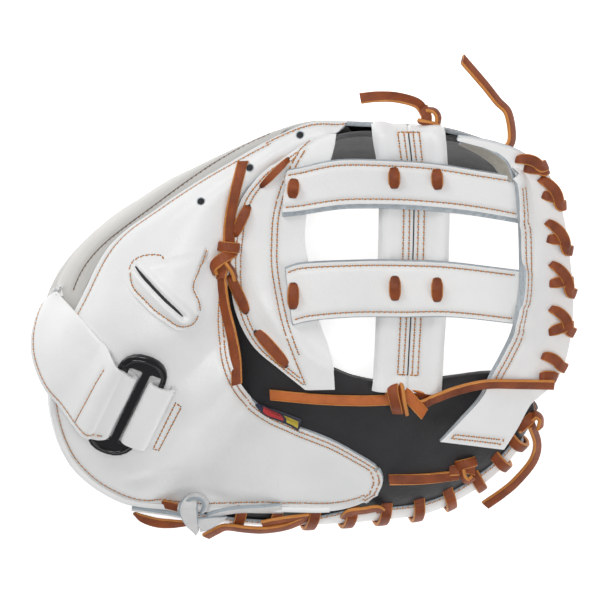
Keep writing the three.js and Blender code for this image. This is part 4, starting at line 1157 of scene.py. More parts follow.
# %% The band's curled end
CURL = [  # ax ay az bx by bz
    (95, 107.2, 109, 97, 108.8, 116),
    (102, 103.6, 109, 104.5, 106.8, 117),
    (108.6, 99.8, 108, 113, 103.8, 117),
    (115.5, 94.5, 107, 120, 99.4, 116),
    (119.6, 88.5, 106, 124.6, 94.8, 114.5),
    (121.5, 82, 104, 128.2, 85, 112),
]
curl, _ = leather("web_band_curl", section_grid(CURL, 40, 10), 1.8, uneven=0.2, skins=(FLESH, WHITE, CUT))
finish_piece(curl, "white_leather")

# %% [markdown]
# ## Finger hood
# The index finger may stay outside the mitt, through a slit under a stitched flap. The flap's grid dips to
# the slit and swells beside it, and a narrow dark strip in the dip is painted shade, for the open slit.

# %% The finger hood
HOOD = [  # ax ay bx by
    (-96, 37, -102, 28),
    (-81, 39, -101, 19),
    (-66, 43, -94, 11),
    (-54, 46, -88, 5),
    (-58.8, 35.7, -81, 0),
    (-63.4, 24, -74, -4.5),
    (-60.5, 15.2, -67, -4),
    (-59, 8, -62, 1),
]
HOOD_HOOK = [(-102.4, 30.6), (-99.8, 36), (-94.6, 39.2), (-87.6, 40.2), (-82.6, 39.4), (-80.8, 36.8)]
HOOD_SEAMS = [seam_at("b", 2.6), seam_at("a", 2.4, (0.44, 0.97))]
SLIT = {"points": [(-98, 33), (-90, 24), (-80, 13), (-70, 3.5)], "width": 3.0, "thick": 1.2}
LIP = {"height": 1.5, "away": 3.0, "reach": 2.4, "dip": 1.2, "dip_reach": 1.3}

hood_base = section_grid(flat_rows(HOOD), 90, 50, None, [back_tree], 0.5)
slit_line = curve(SLIT["points"], np.linspace(0, 1, 60))
slit_gap = np.array([np.min(np.linalg.norm(slit_line - p[:2], axis=1)) for p in hood_base.reshape(-1, 3)])
slit_gap = slit_gap.reshape(hood_base.shape[:2])
lip = LIP["height"] * np.exp(-((slit_gap - LIP["away"]) / LIP["reach"]) ** 2)
lip = lip - LIP["dip"] * np.exp(-(slit_gap / LIP["dip_reach"]) ** 2)
merged = tuck_in(hood_base, depth=3.4, until=0.54, fade=0.08, reach=6.5)
hood, _ = sewn_leather("finger_hood_leather", "finger_hood", hood_base, LEATHER_THICK, HOOD_SEAMS, puff=0.6,
                       uneven=0.4, extra=lip + merged, seed=17, skins=ONE_SKIN, round_edge=0.7)
hook = lying_on([back_tree], curve(HOOD_HOOK, np.linspace(0, 1, 16)))
print("Hook over the slit:", sew("finger_hood_hook_stitches", back, [hook]), "stitches")
slit_points = lying_on([tree_of(hood)], curve(SLIT["points"], np.linspace(0, 1, 9)), 0.1)
slit = sweep("finger_slit", slit_points, [UP] * 9, SLIT["width"], SLIT["thick"], PAINTED_SHADE, steps=4,
             swell=[0.25, 0.7, 0.95, 1.0, 1.0, 1.0, 0.95, 0.7, 0.25])
finish_piece(slit, "white_leather")

# %% [markdown]
# ## Wrist strap and buckle
# The strap leaves the wrist's finger side, crosses the wrist, goes down through one slot of a plastic slide
# and lies back under itself. A short keeper, sewn to the back with a box of stitches, holds the slide by its
# other slot. Everything is placed in the slide's own frame: along its bars, across them, and up.

# %% The slide's frame and the slide itself
BUCKLE = {"x": -101.6, "y": -47.8, "bar": (-0.45, -0.893), "lift": 5, "reach": 12, "ahead": 1.5,
          "wristward": 2.2, "thick": 3, "length": 77, "width": 30.4, "corner": 13.5,
          "slot_length": 54.5, "slot_width": 8.2, "slot_apart": 13.2, "slot_corner": 1.6,
          "ridge_length": 71, "ridge_width": 25, "ridge_corner": 11.0, "round_edge": 0.9}


def slide_frame():
    """Origin and three axes of the slide, square to the back under it"""
    along = np.array([*BUCKLE["bar"], 0]) / np.hypot(*BUCKLE["bar"])
    side = np.array([-along[1], along[0], 0])
    reach = BUCKLE["reach"]

    def on_back(dx, dy):
        x, y, _ = np.array([BUCKLE["x"], BUCKLE["y"], 0]) + along * dx + side * dy
        return lying_on([back_tree], [(x, y)])[0]

    first = unit(on_back(reach, 0) - on_back(-reach, 0))
    third = unit(np.cross(first, on_back(0, reach) - on_back(0, -reach)))
    second = np.cross(third, first)
    centre = on_back(0, 0)
    centre[2] = max(on_back(dx, dy)[2] - first[2] * dx - second[2] * dy
                    for dx, dy in ((0, 0), (reach, 0), (-reach, 0), (0, reach), (0, -reach)))
    return centre + third * BUCKLE["lift"], first, second, third


slide_origin, slide_along, slide_across, slide_up = slide_frame()
TO_WRIST = 1 if slide_across[0] < 0 else -1
TO_FINGERS = 1 if slide_along[1] > 0 else -1


def on_slide(along, across, high):
    return slide_origin + slide_along * along + slide_across * across + slide_up * high


def rounded_rectangle(curve_data, length, width, radius, centre=0.0):
    """A closed spline of a rectangle with round corners, in millimetres"""
    spots = []
    for k, (sx, sy) in enumerate(((1, 1), (-1, 1), (-1, -1), (1, -1))):
        for step in range(6):
            angle = math.radians(90 * k + 18 * step)
            spots.append((sx * (length / 2 - radius) + radius * math.cos(angle),
                          centre + sy * (width / 2 - radius) + radius * math.sin(angle)))
    spline = curve_data.splines.new("POLY")
    spline.points.add(len(spots) - 1)
    for point, (x, y) in zip(spline.points, spots):
        point.co = (x * MM, y * MM, 0, 1)
    spline.use_cyclic_u = True


def moulded(name, outlines, **settings):
    """A mesh of a curve with some rounded rectangles, placed in the slide's frame later"""
    data = bpy.data.curves.new(name, "CURVE")
    for key, value in settings.items():
        setattr(data, key, value)
    for outline in outlines:
        rounded_rectangle(data, *outline)
    pick(link(name, data))
    bpy.ops.object.convert(target="MESH")
    return bpy.context.active_object


EDGE = BUCKLE["round_edge"] * MM
outlines = [(BUCKLE["length"], BUCKLE["width"], BUCKLE["corner"], BUCKLE["wristward"])]
for sign in (-1, 1):
    outlines.append((BUCKLE["slot_length"], BUCKLE["slot_width"], BUCKLE["slot_corner"],
                     sign * BUCKLE["slot_apart"] / 2))
slide = moulded("strap_slide", outlines, dimensions="2D", fill_mode="BOTH", bevel_depth=EDGE,
                extrude=(BUCKLE["thick"] / 2 - 0.7) * MM, bevel_resolution=4, offset=-EDGE)
ridge = moulded("slide_ridge", [(BUCKLE["ridge_length"], BUCKLE["ridge_width"], BUCKLE["ridge_corner"],
                                 BUCKLE["wristward"])],
                dimensions="3D", bevel_depth=EDGE, bevel_resolution=3)
bpy.ops.object.mode_set(mode="EDIT")
bpy.ops.mesh.select_all(action="SELECT")
bpy.ops.transform.translate(value=(0, 0, (BUCKLE["thick"] / 2 + 0.1) * MM))
bpy.ops.object.mode_set(mode="OBJECT")
slide = join("strap_slide", [slide, ridge])
flat = np.array([v.co for v in slide.data.vertices]) / MM
placed = np.array([on_slide(TO_FINGERS * (x + BUCKLE["ahead"]), TO_WRIST * y, z + BUCKLE["thick"] / 2)
                   for x, y, z in flat])
slide.data.vertices.foreach_set("co", metres(placed).ravel())
weld(0.01, closed=False)
slide.data.materials.clear()
slide.data.materials.append(PLASTIC)
finish_piece(slide, "black_plastic", "strap_buckle")
print("Slide:", len(slide.data.polygons), "faces")

# %% [markdown]
# Both loops are sheets whose sections run along the slide's bars. A short table gives the path of each
# loop: its distance from the middle bar and its height in the slide.

# %% The strap and the keeper
STRAP = [  # ax ay az bx by bz
    (-144, 19, 52, -153, 13, 42),
    (-145, 17.5, 62, -156, 9, 48),
    (-137, 9, 74, -160, 0, 54),
    (-128, -0.5, 85, -162, -11, 58),
    (-120.6, -9.0, 94, -160.5, -24, 64),
    (-117, -12.6, 101, -153.5, -40, 72),
    (-114, -15.8, 107, -143, -52, 77),
]
STRAP_LOOP = [(19, 5.2), (14, 4.9), (9.5, 4.8), (6.2, 4.2), (4.7, 1.6), (6.2, -1.2), (9.5, -1.8),
              (17, -1.8), (24, -1.4)]
KEEPER_LOOP = [(18.5, -2), (19.2, 0.6), (17.6, 3.6), (14, 4.7), (9.5, 4.7), (6, 3.8), (4.6, 1.5),
               (6, -1.1), (9.5, -1.9), (14.6, -1.9)]
STRAP_HALF = [(28.4, 28.2), (26.0, 27.8), (24.2, 27.0), (23.4, 25.4)] + [(23.0, 24.4)] * 5
KEEPER_HALF = [(23.5, 24.0)] * len(KEEPER_LOOP)
KEEPER_BOX = [(-74.5, -48.5), (-71.2, -51.0), (-85.2, -77.5), (-88.4, -76.4), (-74.5, -48.5)]
STRAP_THICK = 2.4
STRAP_GAP = 0.9
STRAP_RESTS = 0.46
CUSHION = {"height": 2.0, "rise": 0.12, "last": 0.54, "fall": 0.1}
CROSS_SEAM = 0.44


def loop_rows(path, side, half):
    """Sections of a loop, from its path and the two half lengths of each section along the bars"""
    return [(*on_slide(TO_FINGERS * up, side * out, high), *on_slide(-TO_FINGERS * low, side * out, high))
            for (up, low), (out, high) in zip(half, path)]


def loop_grid(rows, along, across, rested):
    """Grid of a loop's middle surface. Its first share rests on the hand's leathers."""
    points = section_grid(rows, along, across)
    points = drape(points, [back_tree, palm_tree, wall_tree], STRAP_THICK / 2 + STRAP_GAP, (0.0, rested), 90)
    for _ in range(10 if rested else 0):
        points[1:-1, :, 2] = (points[:-2, :, 2] + 2 * points[1:-1, :, 2] + points[2:, :, 2]) / 4
        points[:, 1:-1, 2] = (points[:, :-2, 2] + 2 * points[:, 1:-1, 2] + points[:, 2:, 2]) / 4
    return points


strap_rows = STRAP + loop_rows(STRAP_LOOP, TO_WRIST, STRAP_HALF)
strap_middle = loop_grid(strap_rows, 180, 40, STRAP_RESTS)
strap_base = strap_middle - facing_of(strap_middle, UP) * STRAP_THICK / 2
share = steps_to(180)[:, None]
cushion = np.minimum(share / CUSHION["rise"], (CUSHION["last"] - share) / CUSHION["fall"])
cushion = CUSHION["height"] * np.clip(cushion, 0, 1)
cushion = cushion * np.clip(np.sin(np.pi * steps_to(40)), 0, 1)[None, :] ** PUFF_POWER
STRAP_SEAMS = [seam_at("b", 3.2, (0.04, 0.61)), lambda grid: grid[int(CROSS_SEAM * (len(grid) - 1)), 6:-3]]
sewn_leather("wrist_strap_leather", "wrist_strap", strap_base, STRAP_THICK, STRAP_SEAMS, seed=23,
             uneven=0.35, extra=cushion, round_edge=0.9, skins=ONE_SKIN)

keeper_middle = loop_grid(loop_rows(KEEPER_LOOP, -TO_WRIST, KEEPER_HALF), 110, 34, 0)
keeper_top = facing_of(keeper_middle[30:60], UP)[15, 17]
keeper_facing = facing_of(keeper_middle, UP)
keeper_side = 1 if (keeper_facing[45, 17] * keeper_top).sum() > 0 else -1
keeper_base = keeper_middle - keeper_facing * keeper_side * STRAP_THICK / 2
keeper, _ = leather("buckle_keeper_leather", keeper_base, STRAP_THICK, toward=keeper_side * UP,
                    uneven=0.25, seed=27, round_edge=0.8, skins=ONE_SKIN, puff=0.4)
finish_piece(keeper, "white_leather", "buckle_keeper")
box_sides = [lying_on([back_tree], np.linspace(a, b, 8)) for a, b in zip(KEEPER_BOX, KEEPER_BOX[1:])]
print("Box on the back:", sew("keeper_box_stitches", back, box_sides, pitch=3.2), "stitches")

# %% [markdown]
# ## Lacing
# The rim is whipped: the lace comes up through a hole, lies over the roll and goes back through the padding
# to the next hole. Each turn is the same short list of stops, and the places along the rim are lengths
# measured from the first hole. Where a turn passes under the mitt, the floor presses it flat.

# %% Whip lacing round the rim
WRAPS = {"thumb": [0, 24, 47, 70, 91, 113, 135, 157.5, 179.5, 198], "finger": [0, 29, 58, 87, 116, 145]}
WRAP_START = {"thumb": 0.312, "finger": 0.69}
SEAT = {"thumb": (-42, 62, 2.0, 4.3), "finger": (24, 96, 5.4, 5.4)}
WRAP_REACH = 4
LACE_DEPTH = 3.5
LOWEST_LACE = 0.1 * MM


def places_along_rim(start, lengths, direction):
    """Places on the rim at some lengths from a start, measured just outside the leather"""
    t = start + direction * np.arange(0, 0.4, 0.0005)
    t = t[(t > 0) & (t < 1)]
    path = rim_point(t, np.full(len(t), 70.0), np.full(len(t), 4.0))[0]
    length = np.concatenate([[0], np.cumsum(np.linalg.norm(np.diff(path, axis=0), axis=1))])
    return np.interp(lengths, length, t)


def rim_stop(t, degrees, radius):
    point, out, onward = rim_point(np.array([t]), np.array([float(degrees)]), np.array([float(radius)]))
    return point[0], out[0], onward[0]


def whip(name, key, direction, node):
    """Turns of lace round the rim, on from a start. Each has a hole on either side of the roll."""
    lengths = np.array(WRAPS[key], float)
    top = places_along_rim(WRAP_START[key], lengths + WRAP_REACH, direction)
    low = places_along_rim(WRAP_START[key], np.maximum(lengths - WRAP_REACH, 0), direction)
    start, end, first, radius = SEAT[key]
    span = end - start
    wraps = []
    for i, (top_place, low_place) in enumerate(zip(top, low)):
        lean = noise.noise(Vector((i * 3.1, len(name), 0.5)))
        stops, outs = [], []

        def put(part, degrees, off, inward=0.0, forward=0.0):
            point, out, onward = rim_stop(top_place + (low_place - top_place) * part, degrees, off)
            stops.append(point)
            outs.append(unit(out * (1 - abs(inward)) + onward * inward + out * forward))

        put(-0.05, start + span * 0.02, -LACE_DEPTH, -0.8)
        put(0.0, start - 4, first - 1.6, -0.6)
        put(0.1, start + span * 0.08, first + 0.5, -0.25)
        for part in (0.26, 0.5, 0.72):
            put(part + 0.03 * lean, start + span * part, radius + 0.5 + 0.3 * lean)
        put(0.88, start + span * 0.94, radius + 0.1, 0.2)
        put(1.0, end + 4, radius - 2.2, 0.6)
        put(1.05, end - span * 0.02, -LACE_DEPTH, 0.8)
        wraps.append(sweep(f"{name}_{i}", stops, outs, LACE_WIDTH, LACE_THICK, LACE))
    whole = join(name, wraps)
    for vertex in whole.data.vertices:
        vertex.co.z = max(vertex.co.z, LOWEST_LACE)
    finish_piece(whole, "tan_lace", node)
    return whole


thumb_whip = whip("rim_lacing_thumb", "thumb", -1, "rim_lace_thumb")
finger_whip = whip("rim_lacing_finger", "finger", 1, "rim_lace_finger")
print("Rim lacing:", len(thumb_whip.data.polygons) + len(finger_whip.data.polygons), "faces")

# %% [markdown]
# Near the heel some runs of the lace lie along the rim, over the turns. They stand on edge, so their
# paler cut edge looks at the camera.

# %% Runs along the rim
RIM_RUNS = {
    "rim_run_heel": [(-57.4, -131, 14), (-52, -128, 19), (-45.3, -125.2, 22), (-34, -126.4, 23),
                     (-22.6, -127, 23), (-9.6, -125.2, 23), (0, -121.5, 24), (6.7, -118, 22)],
    "rim_run_inner": [(-23.1, -123.2, 26), (-15.8, -121.7, 27), (-6.1, -120.1, 27), (4.9, -118.7, 25)],
    "rim_run_thumb": [(27.4, -119.5, 21), (29.2, -117.1, 26.5), (31.7, -115.8, 28.5), (38.9, -114.9, 29),
                      (46.3, -113.7, 29), (49.5, -115.3, 26)],
}
RUN_FACING = unit(np.array([0, -0.85, 0.52]))
RUN_WIDTH = 6.2
for name, stops in RIM_RUNS.items():
    run = sweep(name, stops, [RUN_FACING] * len(stops), RUN_WIDTH, TIED_THICK, LACE)
    finish_piece(run, "tan_lace")

# %% [markdown]
# On the web the lace dives through holes. A run lies on the leather between two holes: it bends down into
# each of them, so both of its ends are hidden in the leather.

# %% Runs on the crescent, the bars and the base
web_trees = [palm_tree, back_tree, wall_tree, crescent_tree, post_tree, *bar_trees, band_tree]
HOLE = {"high": 0.15, "width": 0.82, "thick": 0.4, "shape": [1.0, 0.85, 0.4], "places": (-1.8, -0.1, 1.1)}
RUN_SINK = 2.6
holes = []


def top_run(name, ax, ay, bx, by, width, bulge=0.0):
    """A lace that comes up at one hole and goes down at another, with a dark sheet of painted shade for the
    open rest of each hole
    """
    lift = LACE_THICK / 2 + 0.15
    shares = np.array([0.0, 0.06, 0.2, 0.4, 0.6, 0.8, 0.94, 1.0])
    lifts = [-RUN_SINK, lift - 0.9, lift, lift + bulge, lift + bulge, lift, lift - 0.9, -RUN_SINK]
    stops = lying_on(web_trees, [(ax + (bx - ax) * s, ay + (by - ay) * s) for s in shares])
    stops[:, 2] += lifts
    along = unit(np.array([bx - ax, by - ay, 0.0]))
    lean = np.array([-1.4, -0.8, -0.15, 0, 0, 0.15, 0.8, 1.4])[:, None]
    for (x, y), away in (((ax, ay), -1), ((bx, by), 1)):
        spot = lying_on(web_trees, [(x, y)], HOLE["high"])[0]
        opening = [spot + along * away * place for place in HOLE["places"]]
        # The open rest of each hole is a thin dark sheet: painted shade.
        holes.append(sweep(f"{name}_hole_{away}", opening, [UP] * 3, width * HOLE["width"], HOLE["thick"],
                           PAINTED_SHADE, steps=3, swell=HOLE["shape"]))
    roll = np.cross(along, UP) * 0.25 * noise.noise(Vector((ax, ay, 3.0)))
    return sweep(name, stops, unit(UP + roll + along * lean), width, LACE_THICK, LACE, steps=4,
                 swell=[0.6, 0.74, 0.94, 1.0, 1.0, 0.94, 0.74, 0.6])


CRESCENT_RUNS = [(-7, 97, -23, 81, 4.4), (-31, 69, -39, 52, 6.6), (-42, 28, -32, 6, 6.8),
                 (-26, -5.5, -8, -26, 7.4)]
runs = [top_run(f"run_{k}", *spot, bulge=0.5) for k, spot in enumerate(CRESCENT_RUNS)]
finish_piece(join("crescent_lacing", runs), "tan_lace", "crescent_lace")

BAR_RUNS = [(55.8, 91, 56.2, 80.4), (81.2, 90.2, 82, 79.8), (56.6, 26.6, 56.8, 13.8),
            (81.8, 25.6, 82, 13), (-3.6, 84.4, -4.4, 74.8), (-4, 22.6, -4.2, 8.6)]
for number, spot in enumerate(BAR_RUNS):
    run = top_run(f"bar_lacing_{number + 1}", *spot, 7.2, bulge=1.1)
    finish_piece(run, "tan_lace", f"bar_lace_{number + 1}")
finish_piece(join("lace_holes", holes), "tan_lace")

# %% [markdown]
# The band's edge is laced in pairs. Both strands of a pair come out of their own holes and meet on the
# outer edge, the long one over the short one, and fold under it.

# %% Pairs over the band's edge
BAND_PAIRS = [  # x and y of the upper hole, its place on the edge, the lower hole, its place, and the bow
    (129, 96.6, 143.6, 92.4, 134, 91.4, 145.4, 90.2, 2.0),
    (143, 85.2, 155, 69.8, 145.4, 75.8, 153.9, 73, 3.0),
    (147.6, 59.6, 159.5, 43.4, 148.6, 49.6, 158.7, 48.4, 3.0),
    (150.4, 34.8, 162, 18.2, 150.4, 22.8, 161.6, 24.2, 3.0),
    (150.6, 7.8, 161.9, -5, 150.4, -6.4, 162, -2.4, 3.0),
    (146.4, -20.8, 157, -26.4, 145, -33.2, 152.4, -33, 1.6),
]
BAND_INSIDE = np.array([70.0, 20.0])


def edge_strand(name, hole, edge, over, bow):
    """A strand from a hole to the band's edge and under it"""
    hole, edge = np.array(hole, float), np.array(edge, float)
    away = unit(edge - BAND_INSIDE)
    rim = edge + away * 0.5
    chord = unit(rim - hole)
    aside = np.array([-chord[1], chord[0]]) * bow
    lift = LACE_THICK / 2 + 0.2 + over
    first, side = rest_height([band_tree], *hole), rest_height([band_tree], *(edge - away * 3.0))
    shares = [0.0, 0.07, 0.25, 0.5, 0.75]
    lifts = [-2.4, lift - 1.0, lift + 0.1, lift + 0.3, lift + 0.3]
    stops = []
    for s, h in zip(shares, lifts):
        spot = hole + (rim - hole) * s + aside * 4 * s * (1 - s)
        height = max(first + (side - first) * s, rest_height([band_tree], *spot))
        stops.append((*spot, height + h))
    under = unit(away + chord * 0.6)
    below = side - BAND_THICK
    for spot, height in ((edge + under * 0.2, side + lift - 0.4), (edge + under * (1.7 + over), side - 0.8),
                         (edge + under * (1.9 + over), side - BAND_THICK / 2),
                         (edge + under * 0.8, below - 0.6), (edge - away * 4.0, below - lift),
                         (edge - away * 9.0, below - 0.5)):
        stops.append((*spot, height))
    along, far = np.array([*chord, 0.0]), np.array([*under, 0.0])
    outs = [UP - along * 1.4, UP - along * 0.8, UP, UP, UP, UP + far * 0.5, far + UP * 0.3, far, far - UP,
            -UP, -UP]
    return sweep(name, stops, unit(np.array(outs)), LACE_WIDTH, LACE_THICK, LACE, steps=4,
                 swell=[0.6, 0.75, 0.95, 1, 1, 1, 1, 1, 1, 1, 0.8])


strands = []
for number, (*places, bow) in enumerate(BAND_PAIRS):
    strands.append(edge_strand(f"strand_{number}_a", places[4:6], places[6:8], 0.0, 0.4))
    strands.append(edge_strand(f"strand_{number}_b", places[0:2], places[2:4], 1.2, bow))
band_lacing = join("band_lacing", strands)
finish_piece(band_lacing, "tan_lace", "web_band_lace")
print("Band lacing:", len(band_lacing.data.polygons), "faces")

# %% [markdown]
# ## Free ends and knots
# Lace ends are stiff and keep the curve that they were pulled into. Each end is a cord with its own
# route, cut off at a slant. The knots are made of the same lace.

# %% Free lace ends
LYING_ENDS = {
    "base_tail_up": [(-43, 47, 0), (-42, 60, 0), (-39, 76, 0), (-34, 96, 0)],
    "base_tail_down": [(-47, 27, 99), (-45, 10, 99), (-41, -7, 98), (-38.4, -22, 96.5),
                       (-37.8, -37.5, 95)],
    "post_tail_left": [(54, -47, 0), (36, -47.5, 0), (10, -46.5, 0), (-18, -44, 0)],
    "post_tail_right": [(79, -47, 76), (95, -41, 80), (112, -37.5, 79), (132, -37.5, 74),
                        (153, -38, 68)],
    "rim_tail": [(96.5, -93.2, 0), (75, -95.4, 0), (54, -96, 0)],
}
FREE_ENDS = {
    "web_tail": [(75, 124, 104), (70, 130.5, 106), (58, 134, 107), (46, 134.5, 107), (36, 133.5, 106)],
    "band_tail": [(121, 101, 101), (126.5, 109, 99.5), (124.5, 124.5, 101), (118, 132, 102), (110, 142, 103),
                  (97, 157, 104)],
    "rim_end_tail": [(140, -62, 47), (144, -74, 38), (141.5, -85, 31), (132, -97, 25), (123.5, -104.5, 21),
                     (113, -112, 18)],
}
ROLL = {  # degrees about the route, at its start and at its end
    "base_tail_up": (25, 4), "base_tail_down": (38, 10), "post_tail_left": (5, -6),
    "post_tail_right": (48, 34), "rim_tail": (-34, 14), "web_tail": (36, 14), "band_tail": (58, 44),
    "rim_end_tail": (-48, -30),
}
SLANT = {"base_tail_up": 0.3, "base_tail_down": 0.25, "post_tail_left": 0.15, "band_tail": 0.5}
PLAIN_SLANT = 0.1
TAIL_STEPS = 9
TAIL_WIDTH = LACE_WIDTH - 0.2


def free_end(name, stops):
    """A lace end with its route, which is worked out once and swept as it is"""
    route = curve(stops, np.linspace(0, 1, (len(stops) - 1) * TAIL_STEPS + 1))
    side = unit(np.cross(np.gradient(route, axis=0), UP))
    roll = np.radians(np.linspace(*ROLL[name], len(route)))[:, None]
    skin = PALE_LACE if name == "post_tail_left" else LACE
    piece = sweep(name + "_lace", route, UP * np.cos(roll) + side * np.sin(roll), TAIL_WIDTH,
                  LACE_THICK, skin, steps=1, slant=(0.0, SLANT.get(name, PLAIN_SLANT)))
    finish_piece(piece, "tan_lace", name)
    path = metres(route)
    length = float(np.linalg.norm(np.diff(path, axis=0), axis=1).sum())
    print(name, round(length / MM), "mm")


for name, table in LYING_ENDS.items():
    lift = LACE_THICK / 2 + 1.0
    free_end(name, [(x, y, max(z, rest_height(web_trees, x, y) + lift)) for x, y, z in table])
for name, table in FREE_ENDS.items():
    free_end(name, table)

# %% [markdown]
# Each knot is a few short strands about its middle. A strand has a width, a skin and its stops. A stop is x,
# y and z from the middle, then the way the wide face looks, which stays as it was where it isn't given and
# is up at first. A ring is a turn right round the strands.

# %% The knots
KNOTS = {  # middle x y and height, 0 where it lies on the leather
    "base_knot": (-44, 38, 0),
    "post_knot": (66.5, -46, 0),
    "web_knot": (78, 121.5, 107),
    "rim_knot": (100, -89, 0),
    "band_knot": (139, -61, 0),
}
KNOT_LIFT = 2.6
RINGS = {  # offset, half sizes across and up, direction across, width, lean
    "base_knot": [((1.4, 7.0, 1.5), 5.6, 4.2, (1, -0.1, 0), 6.4, 0.05)],
    "rim_knot": [((0.6, 3.2, 1.0), 5.6, 4.0, (1, 0.3, 0), 6.2, 0.1)],
    "band_knot": [((-2.0, 0.6, 1.0), 5.6, 3.8, (0.75, 0.66, 0), 6.4, 0.0)],
}
STRANDS = {  # width, skin, stops
    "base_knot": [
        (6.6, LACE, [(2, 14, 1.5, 0.3, 0, 1), (1.6, 8, 2, 0.2, 0, 1), (0.5, 1, 2.5, 0, 0, 1),
                     (-2, -6, 2, -0.3, 0, 1), (-3, -12, 2, -0.5, 0, 1)]),
        (7.0, LACE, [(4.5, 4.5, -0.5, 0.8, 0.4, 0.4), (2.5, 2.8, 4.6, 0.2, 0.3, 1),
                     (-3, -0.5, 5.6, -0.3, 0.1, 1), (-7.6, -5, 3.4, -0.8, 0, 0.7),
                     (-7, -9.4, 0.6, -0.8, -0.5, 0.3)]),
        (4.6, LACE, [(-1.4, -1, 4, 1, 0.2, 0.4), (1.2, -4, 4.6, 1, 0.3, 0.35), (4, -8, 3.4, 1, 0.2, 0.4),
                     (5.4, -12, 0.8, 1, 0, 0.4)]),
    ],
    "post_knot": [
        (6.8, PALE_LACE, [(-15, 0.3, 1.4), (-9, 0.6, 2), (-2, 1, 2), (4, -1, 1)]),
        (7.4, PALE_LACE, [(-6.6, 5.6, 1.2, -0.3, 0.5, 1), (-3.2, 3.2, 5.4, 0, 0.2, 1),
                          (2.4, -3, 5.2, 0.1, 0, 1), (8.4, -9.4, 2.4, 0.2, -0.1, 1)]),
        (7.0, LACE, [(-10.2, 9.6, 4, -0.3, 0.9, 0.4), (-10.8, 6.4, 7.6, -0.3, 0.4, 1),
                     (-10.0, 0.6, 7.8, -0.25, 0, 1), (-8.6, -5, 5, -0.2, -0.5, 1),
                     (-7.6, -8.6, -1, -0.2, -0.9, 0.3)]),
        (5.0, LACE, [(-6.6, 9.2, 4.8, -1, 0.2, 0.45), (-5.4, 4.4, 8.2, -1, 0, 0.45), (-4.6, -1, 8),
                     (-3.4, -6, 5.2, -1, -0.2, 0.45), (-2.6, -9, 0.5, -1, -0.3, 0.45)]),
        (5.6, LACE, [(-4, 4.6, 2, 0, -0.8, 0.7), (1.3, 4.0, 3), (8.5, 2, 2.4), (14, 1.4, 0.5)]),
        (6.4, LACE, [(-1, -2.4, 2, 0, -0.7, 0.7), (5.5, -3.6, 2.6), (10.5, -2.2, 2.4), (15, 0.4, 2)]),
    ],
    "web_knot": [
        (6.6, LACE, [(-2.6, -5.8, -1, 0, -0.3, 1), (-2.6, -2.4, 2, 0, 0, 1), (-2.8, 2, 2.2),
                     (-4.6, 6, 0.4, -0.2, 0.3, 1)]),
        (4.6, LACE, [(-2.4, 5.4, 1.2, 0.3, 0.9, 0.5), (2.2, 4.4, 2.6, 0.7, 0.6, 0.6),
                     (4.4, 0.6, 2.6, 0.9, 0, 0.6), (3.8, -4.4, 0.4, 0.9, -0.4, 0.4)]),
        (3.8, LACE, [(-7, -1.6, 1.0, 0, -0.8, 0.6), (-3, -2.8, 4), (1.6, -3.8, 3.8), (4.8, -5, 1)]),
    ],
    "rim_knot": [
        (6.6, LACE, [(-9, -1.4, 0.6, 0, 0.2, 1), (-4, -1, 2), (1, 0, 2.4, 0, 0, 1), (6, -1, 1)]),
        (5.0, LACE, [(-2, -0.6, 4.2, -0.8, -0.3, 0.6), (-0.8, -5, 3.6, -0.8, -0.3, 0.5),
                     (1.6, -7.6, 2, 0, -0.9, 0.5), (5.4, -5.4, 1.4, 0.6, -0.6, 0.5)]),
    ],
    "band_knot": [
        (4.8, LACE, [(0.2, 15, -2, 0.4, 0.2, 0.8), (0.8, 11.4, 2, 0.4, 0.1, 0.9),
                     (1.8, 8, 1.6, 0.4, 0, 0.9), (2.6, 4.6, -1)]),
        (6.8, LACE, [(-6.6, -4, 0, -0.4, 0.5, 0.8), (-3, -0.6, 2.4, -0.3, 0.3, 1),
                     (1.6, 4, 1.6, -0.2, 0.2, 1)]),
        (6.2, LACE, [(0.4, 2.4, 3, -0.2, 0.8, 0.8), (3.6, 4.6, 3.6, 0.2, 0.8, 0.7),
                     (6.8, 2, 2.4, 0.9, 0.4, 0.5), (6.4, -3.4, 0.4, 0.9, -0.2, 0.5)]),
    ],
}


def read_stops(table):
    """The stops of a strand and the ways its face looks"""
    face, stops, faces = (0, 0, 1), [], []
    for stop in table:
        face = stop[3:] or face
        stops.append(stop[:3])
        faces.append(face)
    return np.array(stops, float), unit(np.array(faces, float))


def tie(name, x, y, fixed):
    """A knot from its rings and strands"""
    centre = np.array([x, y, fixed or rest_height(web_trees, x, y) + KNOT_LIFT])
    parts = []
    for k, (offset, wide, high, across, width, lean) in enumerate(RINGS.get(name, ())):
        across = unit(np.array(across, float))
        onward = np.cross(across, UP)
        a = np.linspace(0, 2 * np.pi, 17)
        stops = centre + np.array(offset) + across * (np.cos(a) * wide)[:, None]
        stops = stops + UP * (np.sin(a) * high)[:, None]
        stops = stops + onward * (lean * wide * np.cos(a) + 0.5 * np.sin(a / 2))[:, None]
        outs = across * np.cos(a)[:, None] + UP * np.sin(a)[:, None]
        parts.append(sweep(f"{name}_ring_{k}", stops, outs, width, TIED_THICK, LACE, steps=3))
    for k, (width, skin, table) in enumerate(STRANDS[name]):
        stops, outs = read_stops(table)
        parts.append(sweep(f"{name}_strand_{k}", centre + stops, outs, width, TIED_THICK, skin, steps=6,
                           slant=(0, 0.25)))
    knot = join(name + "_tied", parts)
    finish_piece(knot, "tan_lace", name)
    return len(knot.data.polygons)


for name, values in KNOTS.items():
    print(name, tie(name, *values), "faces")

# %% [markdown]
# ## Heel lace and side tab
# At the heel a white lace ties the back to the rim: it leaves as a flat end at the left, folds over itself
# in a loose knot, and runs along the rim to the right. The small folded tab at the crotch is woven.

